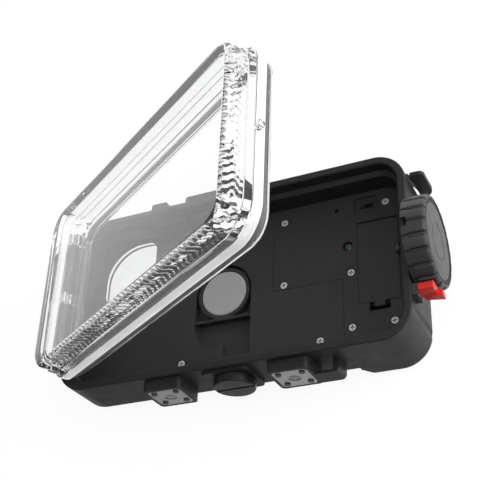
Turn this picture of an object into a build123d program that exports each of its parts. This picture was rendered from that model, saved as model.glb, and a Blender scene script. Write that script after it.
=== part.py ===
"""Hard waterproof case for a phone, lying on its front with its clear cover swung open.

The origin is the middle of the flat front face. +X runs along the case to the knob,
+Y runs across it to the side away from the two screw mounts, and +Z points out of the
open back. All sizes are in millimetres.
"""
from build123d import *
from math import cos, radians, sin, sqrt
import os

os.makedirs("parts", exist_ok=True)

# Body
body_length = 199.0
body_width = 105.0
body_depth = 29.0
corner_radius = 16.5
front_edge_radius = 3.0
rim_edge_radius = 0.8
corner_groove_radius = 5.3
corner_groove_depth = 0.9
corner_groove_inset = 15.1
corner_groove_below_rim = 2.6
seal_wall = 4.2
seal_land_depth = 6.8
rim_lead_in = 0.6
seat_wall = 6.6
lead_in_depth = 1.7
bay_wall = 9.0
front_wall = 3.0
grip_drop = 9.0
grip_length = 28.5
grip_ramp = 7.0
grip_edge_radius = 4.0
grip_wall = 3.0
grip_ramp_wall = 1.8

# Inner plates
plate_level = 9.4
plate_thickness = 2.4
plate_gap = 0.15
seam_gap = 0.2
seam_left_from_end = 80.7
seam_beside_door = 8.2
seam_step_y = -4.4

# Screws that hold the inner plates
screw_head_radius = 1.9
screw_head_height = 1.1
screw_radius = 1.0
screw_length = 5.0
screw_clearance = 0.15
screw_head_gap = 0.45
screw_slot_width = 0.6
screw_slot_depth = 0.5
screw_boss_radius = 2.8
screw_x_outer = 16.6
screw_x_corner = 14.4
screw_beside_door = 3.8
screw_x_inner = 74.4
screw_x_plate = 53.9
screw_x_far = 133.5
screw_top_inset = 15.5
screw_row_middle = -1.8
screw_low_inset = 19.3
screw_plate_inset = 14.8

# Camera port
port_from_end = 11.5
port_width = 32.0
port_height = 36.0
port_from_side = 8.3
port_big_radius = 22.0
port_small_radius = 5.5
port_flare = 4.2
glass_border = 1.4
glass_gap = 0.15
glass_thickness = 2.4
glass_boss_gap = 0.15
glass_boss_drop = 0.3
gasket_thickness = 0.6
gasket_lip = 0.3
well_wall = 2.0

# Drying capsule and its holder
capsule_shift = 0.31553
capsule_y = 1.2
capsule_radius = 13.3
capsule_height = 4.2
capsule_clearance = 0.3
pocket_half_width = 16.8
pocket_floor = 4.4
pocket_skin = 1.1
pocket_left_inset = 21.9
pocket_right_inset = 14.9
pocket_step_shift = 1.2
pocket_slope_drop = 4.0
pocket_slope_run = 6.5
holder_wall = 1.9
holder_height = 4.0
holder_bar_drop = 15.6
holder_gap = 0.15
holder_bar_width = 1.6

# Battery compartment
cell_radius = 5.2
cell_length = 43.4
cell_nub_radius = 1.9
cell_nub_length = 1.0
cell_pitch = 10.5
cell_clearance = 0.15
cell_level = 1.75
cell_shift = 0.6
door_length = 48.1
door_width = 22.2
door_rib_depth = 0.4
door_rib_width = 1.0
door_rib_pitch = 2.2
door_gap = 0.2
door_right_from_end = 10.6
door_middle_y = 3.05
door_nose_gap = 0.2
door_pin_radius = 0.6
door_pin_length = 1.1
pin_clearance = 0.06
tray_inner_length = 47.0
tray_end_wall = 1.2
tray_gap = 0.3
tray_knee_drop = 2.4
contact_thickness = 0.5
contact_size = 7.6
contact_cone_base = 2.8
contact_cone_tip = 1.5
latch_width = 11.0
latch_slot = 3.6
latch_tongue_width = 5.6
latch_tongue_reach = 2.6
finger_recess_depth = 1.2
finger_recess_height = 2.3

# Electronics
board_level = 3.9
board_thickness = 1.2
board_left_from_end = 69.5
board_beside_door = 2.5
board_low_inset = 18.5
board_top_inset = 9.5
arm_low_inset = 21.5
arm_top_inset = 15.6
board_arm_end = 9.8
board_arm_step = 19.4
standoff_radius = 2.0
standoff_inset = 4.0
standoff_side_inset = 6.0
standoff_top_inset = 8.0
standoff_low_rise = 14.0
boss_clearance = 0.6
led_beside_door = 5.4
led_above_middle = 11.35
led_radius = 2.5
led_height = 3.3
led_hole_radius = 2.8
reset_beside_door = 11.4
reset_inset = 14.8
reset_hole_radius = 1.2
reset_size = 4.0
reset_height = 1.2
reset_button_radius = 0.9
reset_button_height = 0.6
switch_from_end = 27.8
switch_inset = 14.9
switch_recess_length = 13.8
switch_recess_width = 10.0
switch_recess_depth = 1.3
switch_recess_radius = 2.2
switch_slot_length = 6.8
switch_slot_width = 2.6
switch_slot_shift = 0.5
switch_body_length = 11.0
switch_body_width = 7.0
switch_body_height = 1.7
switch_track_depth = 0.8
slider_length = 2.6
slider_width = 1.9
slider_gap = 0.35
slider_stand = 0.5

# Screw mounts on the long side
mount_x_left = -35.7
mount_x_right = 34.3
mount_level = 15.2
mount_stand = 6.0
mount_block_length = 22.0
mount_block_width = 21.6
mount_block_radius = 2.2
mount_plate_length = 18.4
mount_plate_width = 17.8
mount_plate_radius = 2.0
mount_plate_thickness = 0.8
mount_plate_gap = 0.1
mount_thread_radius = 3.0
mount_thread_length = 8.0
mount_insert_radius = 4.5
mount_plate_hole = 3.4
mount_screw_pitch_x = 12.6
mount_screw_pitch_z = 11.8
mount_screw_radius = 0.9
mount_screw_head = 1.6
mount_screw_head_height = 0.5
mount_screw_length = 4.5

# Lanyard loop beside the right mount
loop_reach = 12.7
loop_bar = 1.5
loop_leg = 3.2
loop_low = 5.0
loop_width = 11.0
loop_radius = 2.6

# Port plug on the long side
plug_x = 1.0
plug_level = 14.2
plug_pad_length = 27.0
plug_pad_width = 24.0
plug_pad_radius = 4.0
plug_pad_stand = 1.6
plug_head_radius = 11.0
plug_head_height = 4.6
plug_stem_radius = 6.0
plug_stem_reach = 7.4
plug_seal_section = 0.8
plug_slot_width = 1.6
plug_slot_depth = 1.8
plug_edge_radius = 0.8
plug_gap = 0.1
running_clearance = 0.06

# Locating lugs on the far long side
lug_height = 3.6
lug_depth = 7.0
lug_left_from_end = 54.5
lug_left_length = 10.0
lug_right_from_end = 83.5
lug_right_length = 24.0

# Clear cover, its tongue and seal
hinge_out = 0.2
hinge_above_rim = 3.9
open_angle = 31.8
cover_hinge_gap = 3.0
cover_end_gap = 0.3
cover_side_step = 1.8
cover_rim_gap = 0.3
cover_height = 18.4
cover_corner = 15.4
flange_height = 4.8
step_height = 3.6
step_inset = 1.3
wall_inset = 2.5
cover_top_inset = 4.4
cover_top_chamfer = 2.2
pane_thickness = 5.0
tongue_gap = 0.4
tongue_wall = 3.6
tongue_depth = 5.8
groove_depth = 2.0
groove_width = 3.0
groove_above_edge = 1.2
seal_gap = 0.25
seal_play = 0.08
seal_edge_radius = 0.9

# Hinge
knuckle_radius = 3.3
knuckle_long = 31.0
knuckle_short = 6.0
knuckle_gap = 0.35
hinge_pin_radius = 1.5
knuckle_root = 9.0
hinge_cut_gap = 0.5

# Knob, its cam and its shaft
knob_level = 20.0
knob_radius = 24.2
knob_depth = 9.2
knob_grooves = 20
knob_groove_width = 1.3
knob_groove_depth = 1.3
knob_edge = 2.2
face_radius = 19.8
face_thickness = 1.0
face_recess = 1.3
face_gap = 0.2
face_ring_depth = 0.3
face_ring_radius = 10.0
face_ring_width = 0.7
cam_gap = 0.8
cam_thickness = 2.8
cam_slot_width = 5.0
cam_slot_radius = 13.0
cam_slot_draw = 0.3
cam_turn = 100.0
cam_overrun = 5.0
peg_radius = 2.1
peg_reach = 2.9
peg_edge = 0.4
shaft_radius = 2.0
shaft_into_knob = 6.0
shaft_inner_reach = 2.2
shaft_seal_section = 0.7
seal_seat_gap = 0.15
clip_radius = 3.1
clip_thickness = 0.8
clip_groove = 0.5

# Red safety lock below the knob
lock_under_knob = 0.6
lock_low = 18.5
lock_high = 28.0
lock_height = 4.4
lock_thickness = 7.4
lock_tab_low = 16.5
lock_tab_high = 21.5
lock_tab_reach = 2.8
lock_tab_drop = 2.6
lock_travel = 1.2
housing_depth = 2.9
housing_margin = 0.6
housing_foot = 0.8
housing_back = 1.0
housing_lip = 0.9
slide_low = 20.5
slide_high = 26.0
slide_ear = 1.2
slide_gap = 0.2
lock_spring_level = 23.2
lock_spring_gap = 0.09
lock_spring_radius = 0.78
lock_spring_wire = 0.13
lock_spring_pitch = 0.9
lock_pocket_half = 1.1
lock_pocket_depth = 3.0

# Shutter lever over the top right corner
lever_gap = 1.4
lever_thickness = 2.6
lever_low = 0.6
lever_high = 7.4
lever_tip_inset = 12.5
paddle_out = 7.9
paddle_gap = 0.9
paddle_high = 22.6
paddle_thickness = 2.2
paddle_corner = 6.4
paddle_heel = 3.0
lever_pivot_from_end = 23.5
lever_pivot_out = 5.6
lever_eye_radius = 4.4
lever_edge_radius = 0.8
lever_pin_radius = 1.5
lever_ear_thickness = 3.0
lever_ear_gap = 0.3
lever_ear_length = 9.0
plunger_from_end = 11.5
plunger_level = 4.2
plunger_radius = 1.5
plunger_head_radius = 2.9
plunger_head_height = 1.2
plunger_gap = 0.15
plunger_pocket_out = 1.0
plunger_travel = 0.52
plunger_tip_inset = 14.5
plunger_seal_section = 0.6
plunger_spring_radius = 2.3
plunger_spring_wire = 0.3
plunger_spring_pitch = 1.1
spring_well_depth = 4.0
spring_well_radius = 3.3
spring_end_gap = 0.05
shutter_switch_size = 3.4
shutter_switch_gap = 0.15

# Values worked out from the sizes above
half_length = body_length / 2
half_width = body_width / 2
rim_level = body_depth
seat_level = plate_level - plate_thickness
land_level = rim_level - seal_land_depth
lead_level = land_level - lead_in_depth
grip_level = -grip_drop
grip_floor = grip_level + grip_wall
grip_x = half_length - grip_length
hinge_x = -half_length - hinge_out
hinge_z = rim_level + hinge_above_rim
seam_left = half_length - seam_left_from_end
door_x = half_length - door_right_from_end - door_width / 2
door_left = door_x - door_width / 2
seam_right = door_left - seam_beside_door
door_low = door_middle_y - door_length / 2
door_top = door_middle_y + door_length / 2
port_x = -half_length + port_from_end + port_width / 2
port_y = half_width - port_from_side - port_height / 2
port_right = port_x + port_width / 2
pocket_room = seam_left - port_right - 2 * pocket_half_width
capsule_x = seam_left - pocket_half_width - capsule_shift * pocket_room
pocket_step_x = capsule_x + pocket_step_shift
pocket_left_bottom = -half_width + pocket_left_inset
pocket_bottom = -half_width + pocket_right_inset
holder_bar_y = capsule_y - holder_bar_drop
floor_top = front_wall
pivot_x = half_length - lever_pivot_from_end
pivot_y = half_width + lever_pivot_out
plunger_x = half_length - plunger_from_end
plunger_pocket_y = half_width + plunger_pocket_out
plunger_tip_y = half_width - plunger_tip_inset
lever_tip_y = half_width - lever_tip_inset
switch_x = half_length - switch_from_end
switch_y = half_width - switch_inset
led_x = door_left - led_beside_door
led_y = door_middle_y + led_above_middle
reset_x = door_left - reset_beside_door
reset_y = half_width - reset_inset
board_left = half_length - board_left_from_end
board_right = door_left - board_beside_door
board_bottom = -half_width + board_low_inset
board_top = half_width - board_top_inset
board_arm_bottom = half_width - arm_low_inset
board_arm_top = half_width - arm_top_inset
cam_x = half_length + cam_gap
knob_x = cam_x + cam_thickness
lock_top_y = -knob_radius - lock_under_knob
screw_row_top = half_width - screw_top_inset
screw_row_low = -half_width + screw_low_inset
screw_row_plate = -half_width + screw_plate_inset
screw_x_middle = door_left - screw_beside_door
screw_spots = [
    (half_length - screw_x_outer, screw_row_top),
    (half_length - screw_x_inner, screw_row_top),
    (half_length - screw_x_inner, screw_row_middle),
    (screw_x_middle, screw_row_middle),
    (screw_x_middle, screw_row_low),
    (half_length - screw_x_corner, screw_row_low),
]
plate_screw_spots = [
    (half_length - screw_x_plate, screw_row_plate),
    (half_length - screw_x_far, screw_row_plate),
]


def outline(inset, level):
    """Rounded outline of the body, inset from its outer face, at a height."""
    with BuildSketch(Plane.XY.offset(level)) as shape:
        RectangleRounded(body_length - 2 * inset, body_width - 2 * inset, corner_radius - inset)
    return shape.sketch


def port_outline(border, level):
    """The camera port: one large rounded corner and three small ones."""
    left = port_x - port_width / 2 - border
    right = port_x + port_width / 2 + border
    low = port_y - port_height / 2 - border
    high = port_y + port_height / 2 + border
    with BuildSketch(Plane.XY.offset(level)) as shape:
        with BuildLine():
            edge = Polyline((right, low), (right, high), (left, high), (left, low), close=True)
        make_face()
        big = shape.vertices().group_by(Axis.X)[0].sort_by(Axis.Y)[-1]
        fillet(big, port_big_radius + border)
        small = shape.vertices().sort_by(lambda v: (v.X - left) ** 2 + (v.Y - low) ** 2)[0]
        fillet(small, port_small_radius + border)
        for corner_y in (low, high):
            small = shape.vertices().sort_by(lambda v: (v.X - right) ** 2 + (v.Y - corner_y) ** 2)[0]
            fillet(small, port_small_radius + border)
    return shape.sketch


def electronics_region(gap, level):
    """The part of the floor that the angled electronics cover takes up, grown by a gap."""
    with BuildSketch(Plane.XY.offset(level)) as shape:
        with BuildLine():
            Polyline(
                (seam_left - gap, body_width),
                (seam_left - gap, seam_step_y - gap),
                (seam_right - gap, seam_step_y - gap),
                (seam_right - gap, -body_width),
                (body_length, -body_width),
                (body_length, body_width),
                close=True,
            )
        make_face()
        inner = shape.vertices().sort_by(lambda v: (v.X - seam_right) ** 2 + (v.Y - seam_step_y) ** 2)[0]
        fillet(inner, 2.5)
    return shape.sketch


def side_plane(x, z, out):
    """A plane on the long side with the mounts, facing away from the body."""
    return Plane(origin=(x, -half_width - out, z), x_dir=(1, 0, 0), z_dir=(0, -1, 0))


def end_plane(y, z, out):
    """A plane on the short side with the knob, facing away from the body."""
    return Plane(origin=(half_length + out, y, z), x_dir=(0, 1, 0), z_dir=(1, 0, 0))


def pocket_outline(border, level):
    """The arched pocket that holds the drying capsule."""
    left = capsule_x - pocket_half_width - border
    right = capsule_x + pocket_half_width + border
    with BuildSketch(Plane.XY.offset(level)) as shape:
        with Locations((capsule_x, capsule_y)):
            Circle(pocket_half_width + border)
        with BuildLine():
            Polyline(
                (left, capsule_y),
                (left, holder_bar_y - pocket_slope_drop),
                (left + pocket_slope_run, pocket_left_bottom - border),
                (pocket_step_x - border, pocket_left_bottom - border),
                (pocket_step_x - border, pocket_bottom - border),
                (right, pocket_bottom - border),
                (right, capsule_y),
                close=True,
            )
        make_face()
    return shape.sketch


# The black front shell
with BuildPart() as grip_swell:
    extrude(outline(0, grip_level), amount=grip_drop + front_wall)
    fillet(grip_swell.faces().sort_by(Axis.Z)[0].edges(), grip_edge_radius)
    with BuildSketch(Plane.XZ.offset(-body_width)) as ramp:
        with BuildLine():
            Polyline(
                (grip_x - grip_ramp, 0),
                (grip_x, grip_level),
                (body_length, grip_level),
                (body_length, front_wall),
                (grip_x - grip_ramp, front_wall),
                close=True,
            )
        make_face()
        heel = ramp.vertices().sort_by(lambda v: (v.X - grip_x) ** 2 + (v.Y - grip_level) ** 2)[0]
        fillet(heel, 5.0)
    extrude(amount=2 * body_width, mode=Mode.INTERSECT)

with BuildPart() as front_shell:
    extrude(outline(0, 0), amount=body_depth)
    fillet(front_shell.faces().sort_by(Axis.Z)[0].edges(), front_edge_radius)
    fillet(front_shell.faces().sort_by(Axis.Z)[-1].edges(), rim_edge_radius)
    add(grip_swell.part)

    # hollow grooves down both corners of the end with the knob
    with BuildSketch(Plane.XY.offset(grip_level - 1)):
        for side in (-1, 1):
            groove_x = half_length + corner_groove_radius - corner_groove_depth
            with Locations((groove_x, side * (half_width - corner_groove_inset))):
                Circle(corner_groove_radius)
    extrude(amount=rim_level - corner_groove_below_rim - grip_level + 1, mode=Mode.SUBTRACT)

    # rim, seal land, lead-in, plate seat and the bay under the plates
    extrude(outline(seal_wall, land_level), amount=seal_land_depth + 1, mode=Mode.SUBTRACT)
    loft([outline(seat_wall, lead_level), outline(seal_wall, land_level)], mode=Mode.SUBTRACT)
    rim_low = outline(seal_wall, rim_level - rim_lead_in)
    loft([rim_low, outline(seal_wall - rim_lead_in, rim_level + 0.01)], mode=Mode.SUBTRACT)
    extrude(outline(seat_wall, seat_level), amount=lead_level - seat_level, mode=Mode.SUBTRACT)
    extrude(outline(bay_wall, floor_top), amount=seat_level - floor_top, mode=Mode.SUBTRACT)
    with BuildSketch(Plane.XZ.offset(-(half_width - bay_wall))) as grip_bay:
        slope = grip_ramp / grip_drop
        run = grip_ramp_wall * sqrt(1 + slope**2)
        with BuildLine():
            Polyline(
                (grip_x - grip_ramp + run - slope * (floor_top + 0.5), floor_top + 0.5),
                (grip_x - grip_ramp + run - slope * grip_floor, grip_floor),
                (half_length - bay_wall, grip_floor),
                (half_length - bay_wall, floor_top + 0.5),
                close=True,
            )
        make_face()
    extrude(amount=2 * (half_width - bay_wall), mode=Mode.SUBTRACT)

    # screw bosses and board standoffs
    for spot in screw_spots + plate_screw_spots:
        base = grip_floor if spot[0] > grip_x - grip_ramp / 2 else floor_top
        with BuildSketch(Plane.XY.offset(base - 1)):
            with Locations(spot):
                Circle(screw_boss_radius)
        extrude(amount=seat_level - base + 1)
    with BuildSketch(Plane.XY.offset(floor_top - 0.5)):
        with Locations(
            (board_left + standoff_inset, board_bottom + standoff_inset),
            (board_left + standoff_inset, board_top - standoff_top_inset),
            (board_right - standoff_side_inset, board_bottom + standoff_low_rise),
            (board_right - standoff_side_inset, board_arm_bottom - standoff_side_inset),
        ):
            Circle(standoff_radius)
    extrude(amount=board_level - floor_top + 0.5)
    with BuildSketch(Plane.XY.offset(seat_level)):
        with Locations(*(screw_spots + plate_screw_spots)):
            Circle(screw_radius + 0.02)
    extrude(amount=-(screw_length + 0.5), mode=Mode.SUBTRACT)

    # camera port: a well for the glass inside and a flare outside
    well_depth = seat_level - floor_top
    extrude(port_outline(glass_border + glass_gap + well_wall, floor_top - 0.5), amount=well_depth + 0.5)
    extrude(port_outline(glass_border + glass_gap, floor_top), amount=well_depth, mode=Mode.SUBTRACT)
    loft([port_outline(port_flare, -0.01), port_outline(0, floor_top + 0.01)], mode=Mode.SUBTRACT)

    # mount blocks with plate seats, insert bores and screw holes
    for mount_x in (mount_x_left, mount_x_right):
        with BuildSketch(side_plane(mount_x, mount_level, -1)):
            RectangleRounded(mount_block_length, mount_block_width, mount_block_radius)
        extrude(amount=mount_stand + 1)
        with BuildSketch(side_plane(mount_x, mount_level, mount_stand)):
            RectangleRounded(
                mount_plate_length + 2 * mount_plate_gap,
                mount_plate_width + 2 * mount_plate_gap,
                mount_plate_radius + mount_plate_gap,
            )
        extrude(amount=-mount_plate_thickness, mode=Mode.SUBTRACT)
        with BuildSketch(side_plane(mount_x, mount_level, mount_stand - mount_plate_thickness)):
            Circle(mount_insert_radius)
        extrude(amount=-mount_thread_length, mode=Mode.SUBTRACT)
        with BuildSketch(side_plane(mount_x, mount_level, mount_stand - mount_plate_thickness)):
            with GridLocations(mount_screw_pitch_x, mount_screw_pitch_z, 2, 2):
                Circle(mount_screw_radius + 0.02)
        extrude(amount=-mount_screw_length, mode=Mode.SUBTRACT)

    # lanyard loop: a bar and a leg beside the right mount
    loop_left = mount_x_right + mount_block_length / 2
    with BuildSketch(Plane.XY.offset(loop_low)) as loop:
        with BuildLine():
            Polyline(
                (loop_left - 1, -half_width - mount_stand),
                (loop_left + loop_reach, -half_width - mount_stand),
                (loop_left + loop_reach, -half_width + 1),
                (loop_left + loop_reach - loop_leg, -half_width + 1),
                (loop_left + loop_reach - loop_leg, -half_width - mount_stand + loop_bar),
                (loop_left - 1, -half_width - mount_stand + loop_bar),
                close=True,
            )
        make_face()
        outer = loop.vertices().group_by(Axis.Y)[0].sort_by(Axis.X)[-1]
        fillet(outer, loop_radius)
    extrude(amount=loop_width)

    # pad and bore for the port plug
    with BuildSketch(side_plane(plug_x - 1, plug_level, -1)):
        RectangleRounded(plug_pad_length, plug_pad_width, plug_pad_radius)
    extrude(amount=plug_pad_stand + 1)
    with BuildSketch(side_plane(plug_x, plug_level, plug_pad_stand)):
        Circle(plug_stem_radius + running_clearance)
    extrude(amount=-(seat_wall + plug_pad_stand + 1), mode=Mode.SUBTRACT)
    with BuildSketch(side_plane(plug_x, plug_level, plug_pad_stand)):
        Circle(plug_stem_radius + 2 * plug_seal_section + 0.2)
    extrude(amount=-2 * plug_seal_section, mode=Mode.SUBTRACT)

    # locating lugs along the far side
    lug_left_x = -half_length + lug_left_from_end
    lug_right_x = -half_length + lug_right_from_end
    for lug_x, lug_length in ((lug_left_x, lug_left_length), (lug_right_x, lug_right_length)):
        with BuildSketch(Plane.XY.offset(rim_level - lug_depth)):
            with Locations((lug_x, half_width + lug_height / 2 - 0.5)):
                RectangleRounded(lug_length, lug_height + 1, 1.2)
        extrude(amount=lug_depth - rim_edge_radius)

    # knob shaft bore with a seat for its seal
    with BuildSketch(end_plane(0, knob_level, 0)):
        Circle(shaft_radius + running_clearance)
    extrude(amount=-(seat_wall + 1), mode=Mode.SUBTRACT)
    with BuildSketch(end_plane(0, knob_level, 0)):
        Circle(shaft_radius + 2 * shaft_seal_section + seal_seat_gap)
    extrude(amount=-(2 * shaft_seal_section + seal_seat_gap), mode=Mode.SUBTRACT)

    # body side of the hinge: two long knuckles on a root block
    for side in (-1, 1):
        knuckle_y = side * (knuckle_short / 2 + knuckle_gap + knuckle_long / 2)
        with BuildSketch(Plane.XZ.offset(-knuckle_y - knuckle_long / 2)) as knuckle:
            with Locations((hinge_x, hinge_z)):
                Circle(knuckle_radius)
            with BuildLine():
                Polyline(
                    (hinge_x - knuckle_radius, hinge_z),
                    (hinge_x - knuckle_radius, rim_level - 2),
                    (-half_length + 1, rim_level - knuckle_root),
                    (-half_length + 1, rim_level),
                    (hinge_x + knuckle_radius - 1, rim_level),
                    (hinge_x + knuckle_radius, hinge_z),
                    close=True,
                )
            make_face()
            with Locations((hinge_x, hinge_z)):
                Circle(hinge_pin_radius, mode=Mode.SUBTRACT)
        extrude(amount=knuckle_long)

    # ears for the shutter lever's pin
    for ear_low in (lever_low - lever_ear_gap - lever_ear_thickness, lever_high + lever_ear_gap):
        with BuildSketch(Plane.XY.offset(ear_low)):
            with Locations((pivot_x, pivot_y)):
                Circle(lever_eye_radius - 0.4)
            with Locations((pivot_x, (pivot_y + half_width) / 2 - 1)):
                Rectangle(lever_ear_length, pivot_y - half_width + 2)
            with Locations((pivot_x, pivot_y)):
                Circle(lever_pin_radius, mode=Mode.SUBTRACT)
        extrude(amount=lever_ear_thickness)

    # bore, seal seat and spring well for the shutter plunger
    with BuildSketch(Plane.XZ.offset(-half_width - 2)):
        with Locations((plunger_x, plunger_level)):
            Circle(plunger_radius + running_clearance)
    extrude(amount=bay_wall + 8, mode=Mode.SUBTRACT)
    with BuildSketch(Plane.XZ.offset(-half_width - 2)):
        with Locations((plunger_x, plunger_level)):
            Circle(spring_well_radius)
    extrude(amount=spring_well_depth + 2, mode=Mode.SUBTRACT)
    with BuildSketch(Plane.XZ.offset(-(half_width - bay_wall) - 1)):
        with Locations((plunger_x, plunger_level)):
            Circle(plunger_radius + 2 * plunger_seal_section + 0.1)
    extrude(amount=4, mode=Mode.SUBTRACT)
front_shell.part.label = "front_shell"
export_step(front_shell.part, "parts/front_shell.step")

# Glass for the camera port, its gasket and the ring that holds it
glass_low = floor_top + gasket_thickness
glass_high = glass_low + glass_thickness

with BuildPart() as camera_window:
    extrude(port_outline(glass_border, glass_low), amount=glass_thickness)
    extrude(port_outline(-glass_boss_gap, glass_high), amount=plate_level - glass_boss_drop - glass_high)
camera_window.part.label = "camera_window"
export_step(camera_window.part, "parts/camera_window.step")

with BuildPart() as window_gasket:
    extrude(port_outline(glass_border, floor_top), amount=gasket_thickness)
    extrude(port_outline(gasket_lip, floor_top), amount=gasket_thickness, mode=Mode.SUBTRACT)
window_gasket.part.label = "window_gasket"
export_step(window_gasket.part, "parts/window_gasket.step")

with BuildPart() as window_retainer:
    extrude(port_outline(glass_border, glass_high), amount=seat_level - glass_high)
    extrude(port_outline(0, glass_high), amount=seat_level - glass_high, mode=Mode.SUBTRACT)
window_retainer.part.label = "window_retainer"
export_step(window_retainer.part, "parts/window_retainer.step")

# Inner plate with the capsule pocket and the port opening
plate_inset = seat_wall + plate_gap

with BuildPart() as inner_chassis:
    extrude(outline(plate_inset, seat_level), amount=plate_thickness)
    extrude(electronics_region(seam_gap / 2, seat_level), amount=plate_thickness, mode=Mode.SUBTRACT)
    tub_low = pocket_floor - pocket_skin
    extrude(pocket_outline(pocket_skin, tub_low), amount=seat_level - tub_low)
    extrude(pocket_outline(0, pocket_floor), amount=plate_level - pocket_floor, mode=Mode.SUBTRACT)
    extrude(port_outline(0, seat_level), amount=plate_thickness, mode=Mode.SUBTRACT)
    with BuildSketch(Plane.XY.offset(plate_level)):
        with Locations(*plate_screw_spots):
            Circle(screw_head_radius + screw_head_gap)
    extrude(amount=-screw_head_height, mode=Mode.SUBTRACT)
    with BuildSketch(Plane.XY.offset(plate_level)):
        with Locations(*plate_screw_spots):
            Circle(screw_radius + screw_clearance)
    extrude(amount=-plate_thickness, mode=Mode.SUBTRACT)
inner_chassis.part.label = "inner_chassis"
export_step(inner_chassis.part, "parts/inner_chassis.step")

# Angled cover over the electronics, with the battery opening and the switch recess
with BuildPart() as electronics_cover:
    extrude(outline(plate_inset, seat_level), amount=plate_thickness)
    extrude(electronics_region(-seam_gap / 2, seat_level), amount=plate_thickness, mode=Mode.INTERSECT)
    with BuildSketch(Plane.XY.offset(seat_level)):
        with Locations((door_x, door_middle_y)):
            Rectangle(door_width + 2 * door_gap, door_length + 2 * door_nose_gap)
        with Locations((door_x, door_low - latch_slot / 2)):
            Rectangle(latch_width, latch_slot + 1)
    extrude(amount=plate_thickness, mode=Mode.SUBTRACT)
    with BuildSketch(Plane.XY.offset(plate_level)):
        with Locations((door_x, door_low - latch_slot - finger_recess_height / 2)):
            Rectangle(latch_width, finger_recess_height + 1)
    extrude(amount=-finger_recess_depth, mode=Mode.SUBTRACT)
    with BuildSketch(Plane.YZ.offset(door_x - door_width / 2 - door_gap - door_pin_length)):
        with Locations((door_top - plate_thickness / 2, seat_level + plate_thickness / 2)):
            Circle(door_pin_radius + pin_clearance)
    extrude(amount=door_width + 2 * door_gap + 2 * door_pin_length, mode=Mode.SUBTRACT)
    with BuildSketch(Plane.XY.offset(plate_level)):
        with Locations((switch_x, switch_y)):
            RectangleRounded(switch_recess_length, switch_recess_width, switch_recess_radius)
    extrude(amount=-switch_recess_depth, mode=Mode.SUBTRACT)
    with BuildSketch(Plane.XY.offset(plate_level)):
        with Locations((switch_x + switch_slot_shift, switch_y)):
            Rectangle(switch_slot_length, switch_slot_width)
        with Locations((led_x, led_y)):
            Circle(led_hole_radius)
        with Locations((reset_x, reset_y)):
            Circle(reset_hole_radius)
        with Locations(*screw_spots):
            Circle(screw_radius + screw_clearance)
    extrude(amount=-plate_thickness, mode=Mode.SUBTRACT)
    with BuildSketch(Plane.XY.offset(plate_level)):
        with Locations(*screw_spots):
            Circle(screw_head_radius + screw_head_gap)
    extrude(amount=-screw_head_height, mode=Mode.SUBTRACT)
electronics_cover.part.label = "electronics_cover"
export_step(electronics_cover.part, "parts/electronics_cover.step")

with BuildPart() as chassis_screws:
    with BuildSketch(Plane.XY.offset(plate_level - screw_head_height)):
        with Locations(*(screw_spots + plate_screw_spots)):
            Circle(screw_head_radius)
    extrude(amount=screw_head_height)
    with BuildSketch(Plane.XY.offset(plate_level - screw_head_height)):
        with Locations(*(screw_spots + plate_screw_spots)):
            Circle(screw_radius)
    extrude(amount=-screw_length)
    with BuildSketch(Plane.XY.offset(plate_level)):
        with Locations(*(screw_spots + plate_screw_spots)):
            Rectangle(1.4 * screw_head_radius, screw_slot_width)
            Rectangle(screw_slot_width, 1.4 * screw_head_radius)
    extrude(amount=-screw_slot_depth, mode=Mode.SUBTRACT)
chassis_screws.part.label = "chassis_screws"
export_step(chassis_screws.part, "parts/chassis_screws.step")

# Drying capsule and the ring that holds it
with BuildPart() as desiccant_capsule:
    with BuildSketch(Plane.XY.offset(pocket_floor)):
        with Locations((capsule_x, capsule_y)):
            Circle(capsule_radius)
    extrude(amount=capsule_height)
    fillet(desiccant_capsule.faces().sort_by(Axis.Z)[-1].edges(), 0.7)
desiccant_capsule.part.label = "desiccant_capsule"
export_step(desiccant_capsule.part, "parts/desiccant_capsule.step")

with BuildPart() as capsule_retainer:
    with BuildSketch(Plane.XY.offset(pocket_floor)):
        with Locations((capsule_x, capsule_y)):
            Circle(capsule_radius + capsule_clearance + holder_wall)
        with Locations((capsule_x, holder_bar_y)):
            Rectangle(2 * (pocket_half_width - holder_gap), holder_bar_width)
        with Locations((capsule_x, capsule_y)):
            Circle(capsule_radius + capsule_clearance, mode=Mode.SUBTRACT)
    extrude(amount=holder_height)
capsule_retainer.part.label = "capsule_retainer"
export_step(capsule_retainer.part, "parts/capsule_retainer.step")

# Circuit board and the small parts on it
board_face = board_level + board_thickness
arm_end = half_length - board_arm_end
arm_step = half_length - board_arm_step

with BuildPart() as circuit_board:
    with BuildSketch(Plane.XY.offset(board_level)):
        with BuildLine():
            Polyline(
                (board_left, board_bottom),
                (board_right, board_bottom),
                (board_right, board_arm_bottom),
                (arm_end, board_arm_bottom),
                (arm_end, board_arm_top),
                (arm_step, board_arm_top),
                (arm_step, board_top),
                (board_left, board_top),
                close=True,
            )
        make_face()
        with Locations(*screw_spots):
            Circle(screw_boss_radius + boss_clearance, mode=Mode.SUBTRACT)
    extrude(amount=board_thickness)
circuit_board.part.label = "circuit_board"
export_step(circuit_board.part, "parts/circuit_board.step")

with BuildPart() as status_led:
    with BuildSketch(Plane.XY.offset(board_face)):
        with Locations((led_x, led_y)):
            Circle(led_radius)
    extrude(amount=led_height)
    fillet(status_led.faces().sort_by(Axis.Z)[-1].edges(), 1.6)
status_led.part.label = "status_led"
export_step(status_led.part, "parts/status_led.step")

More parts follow.
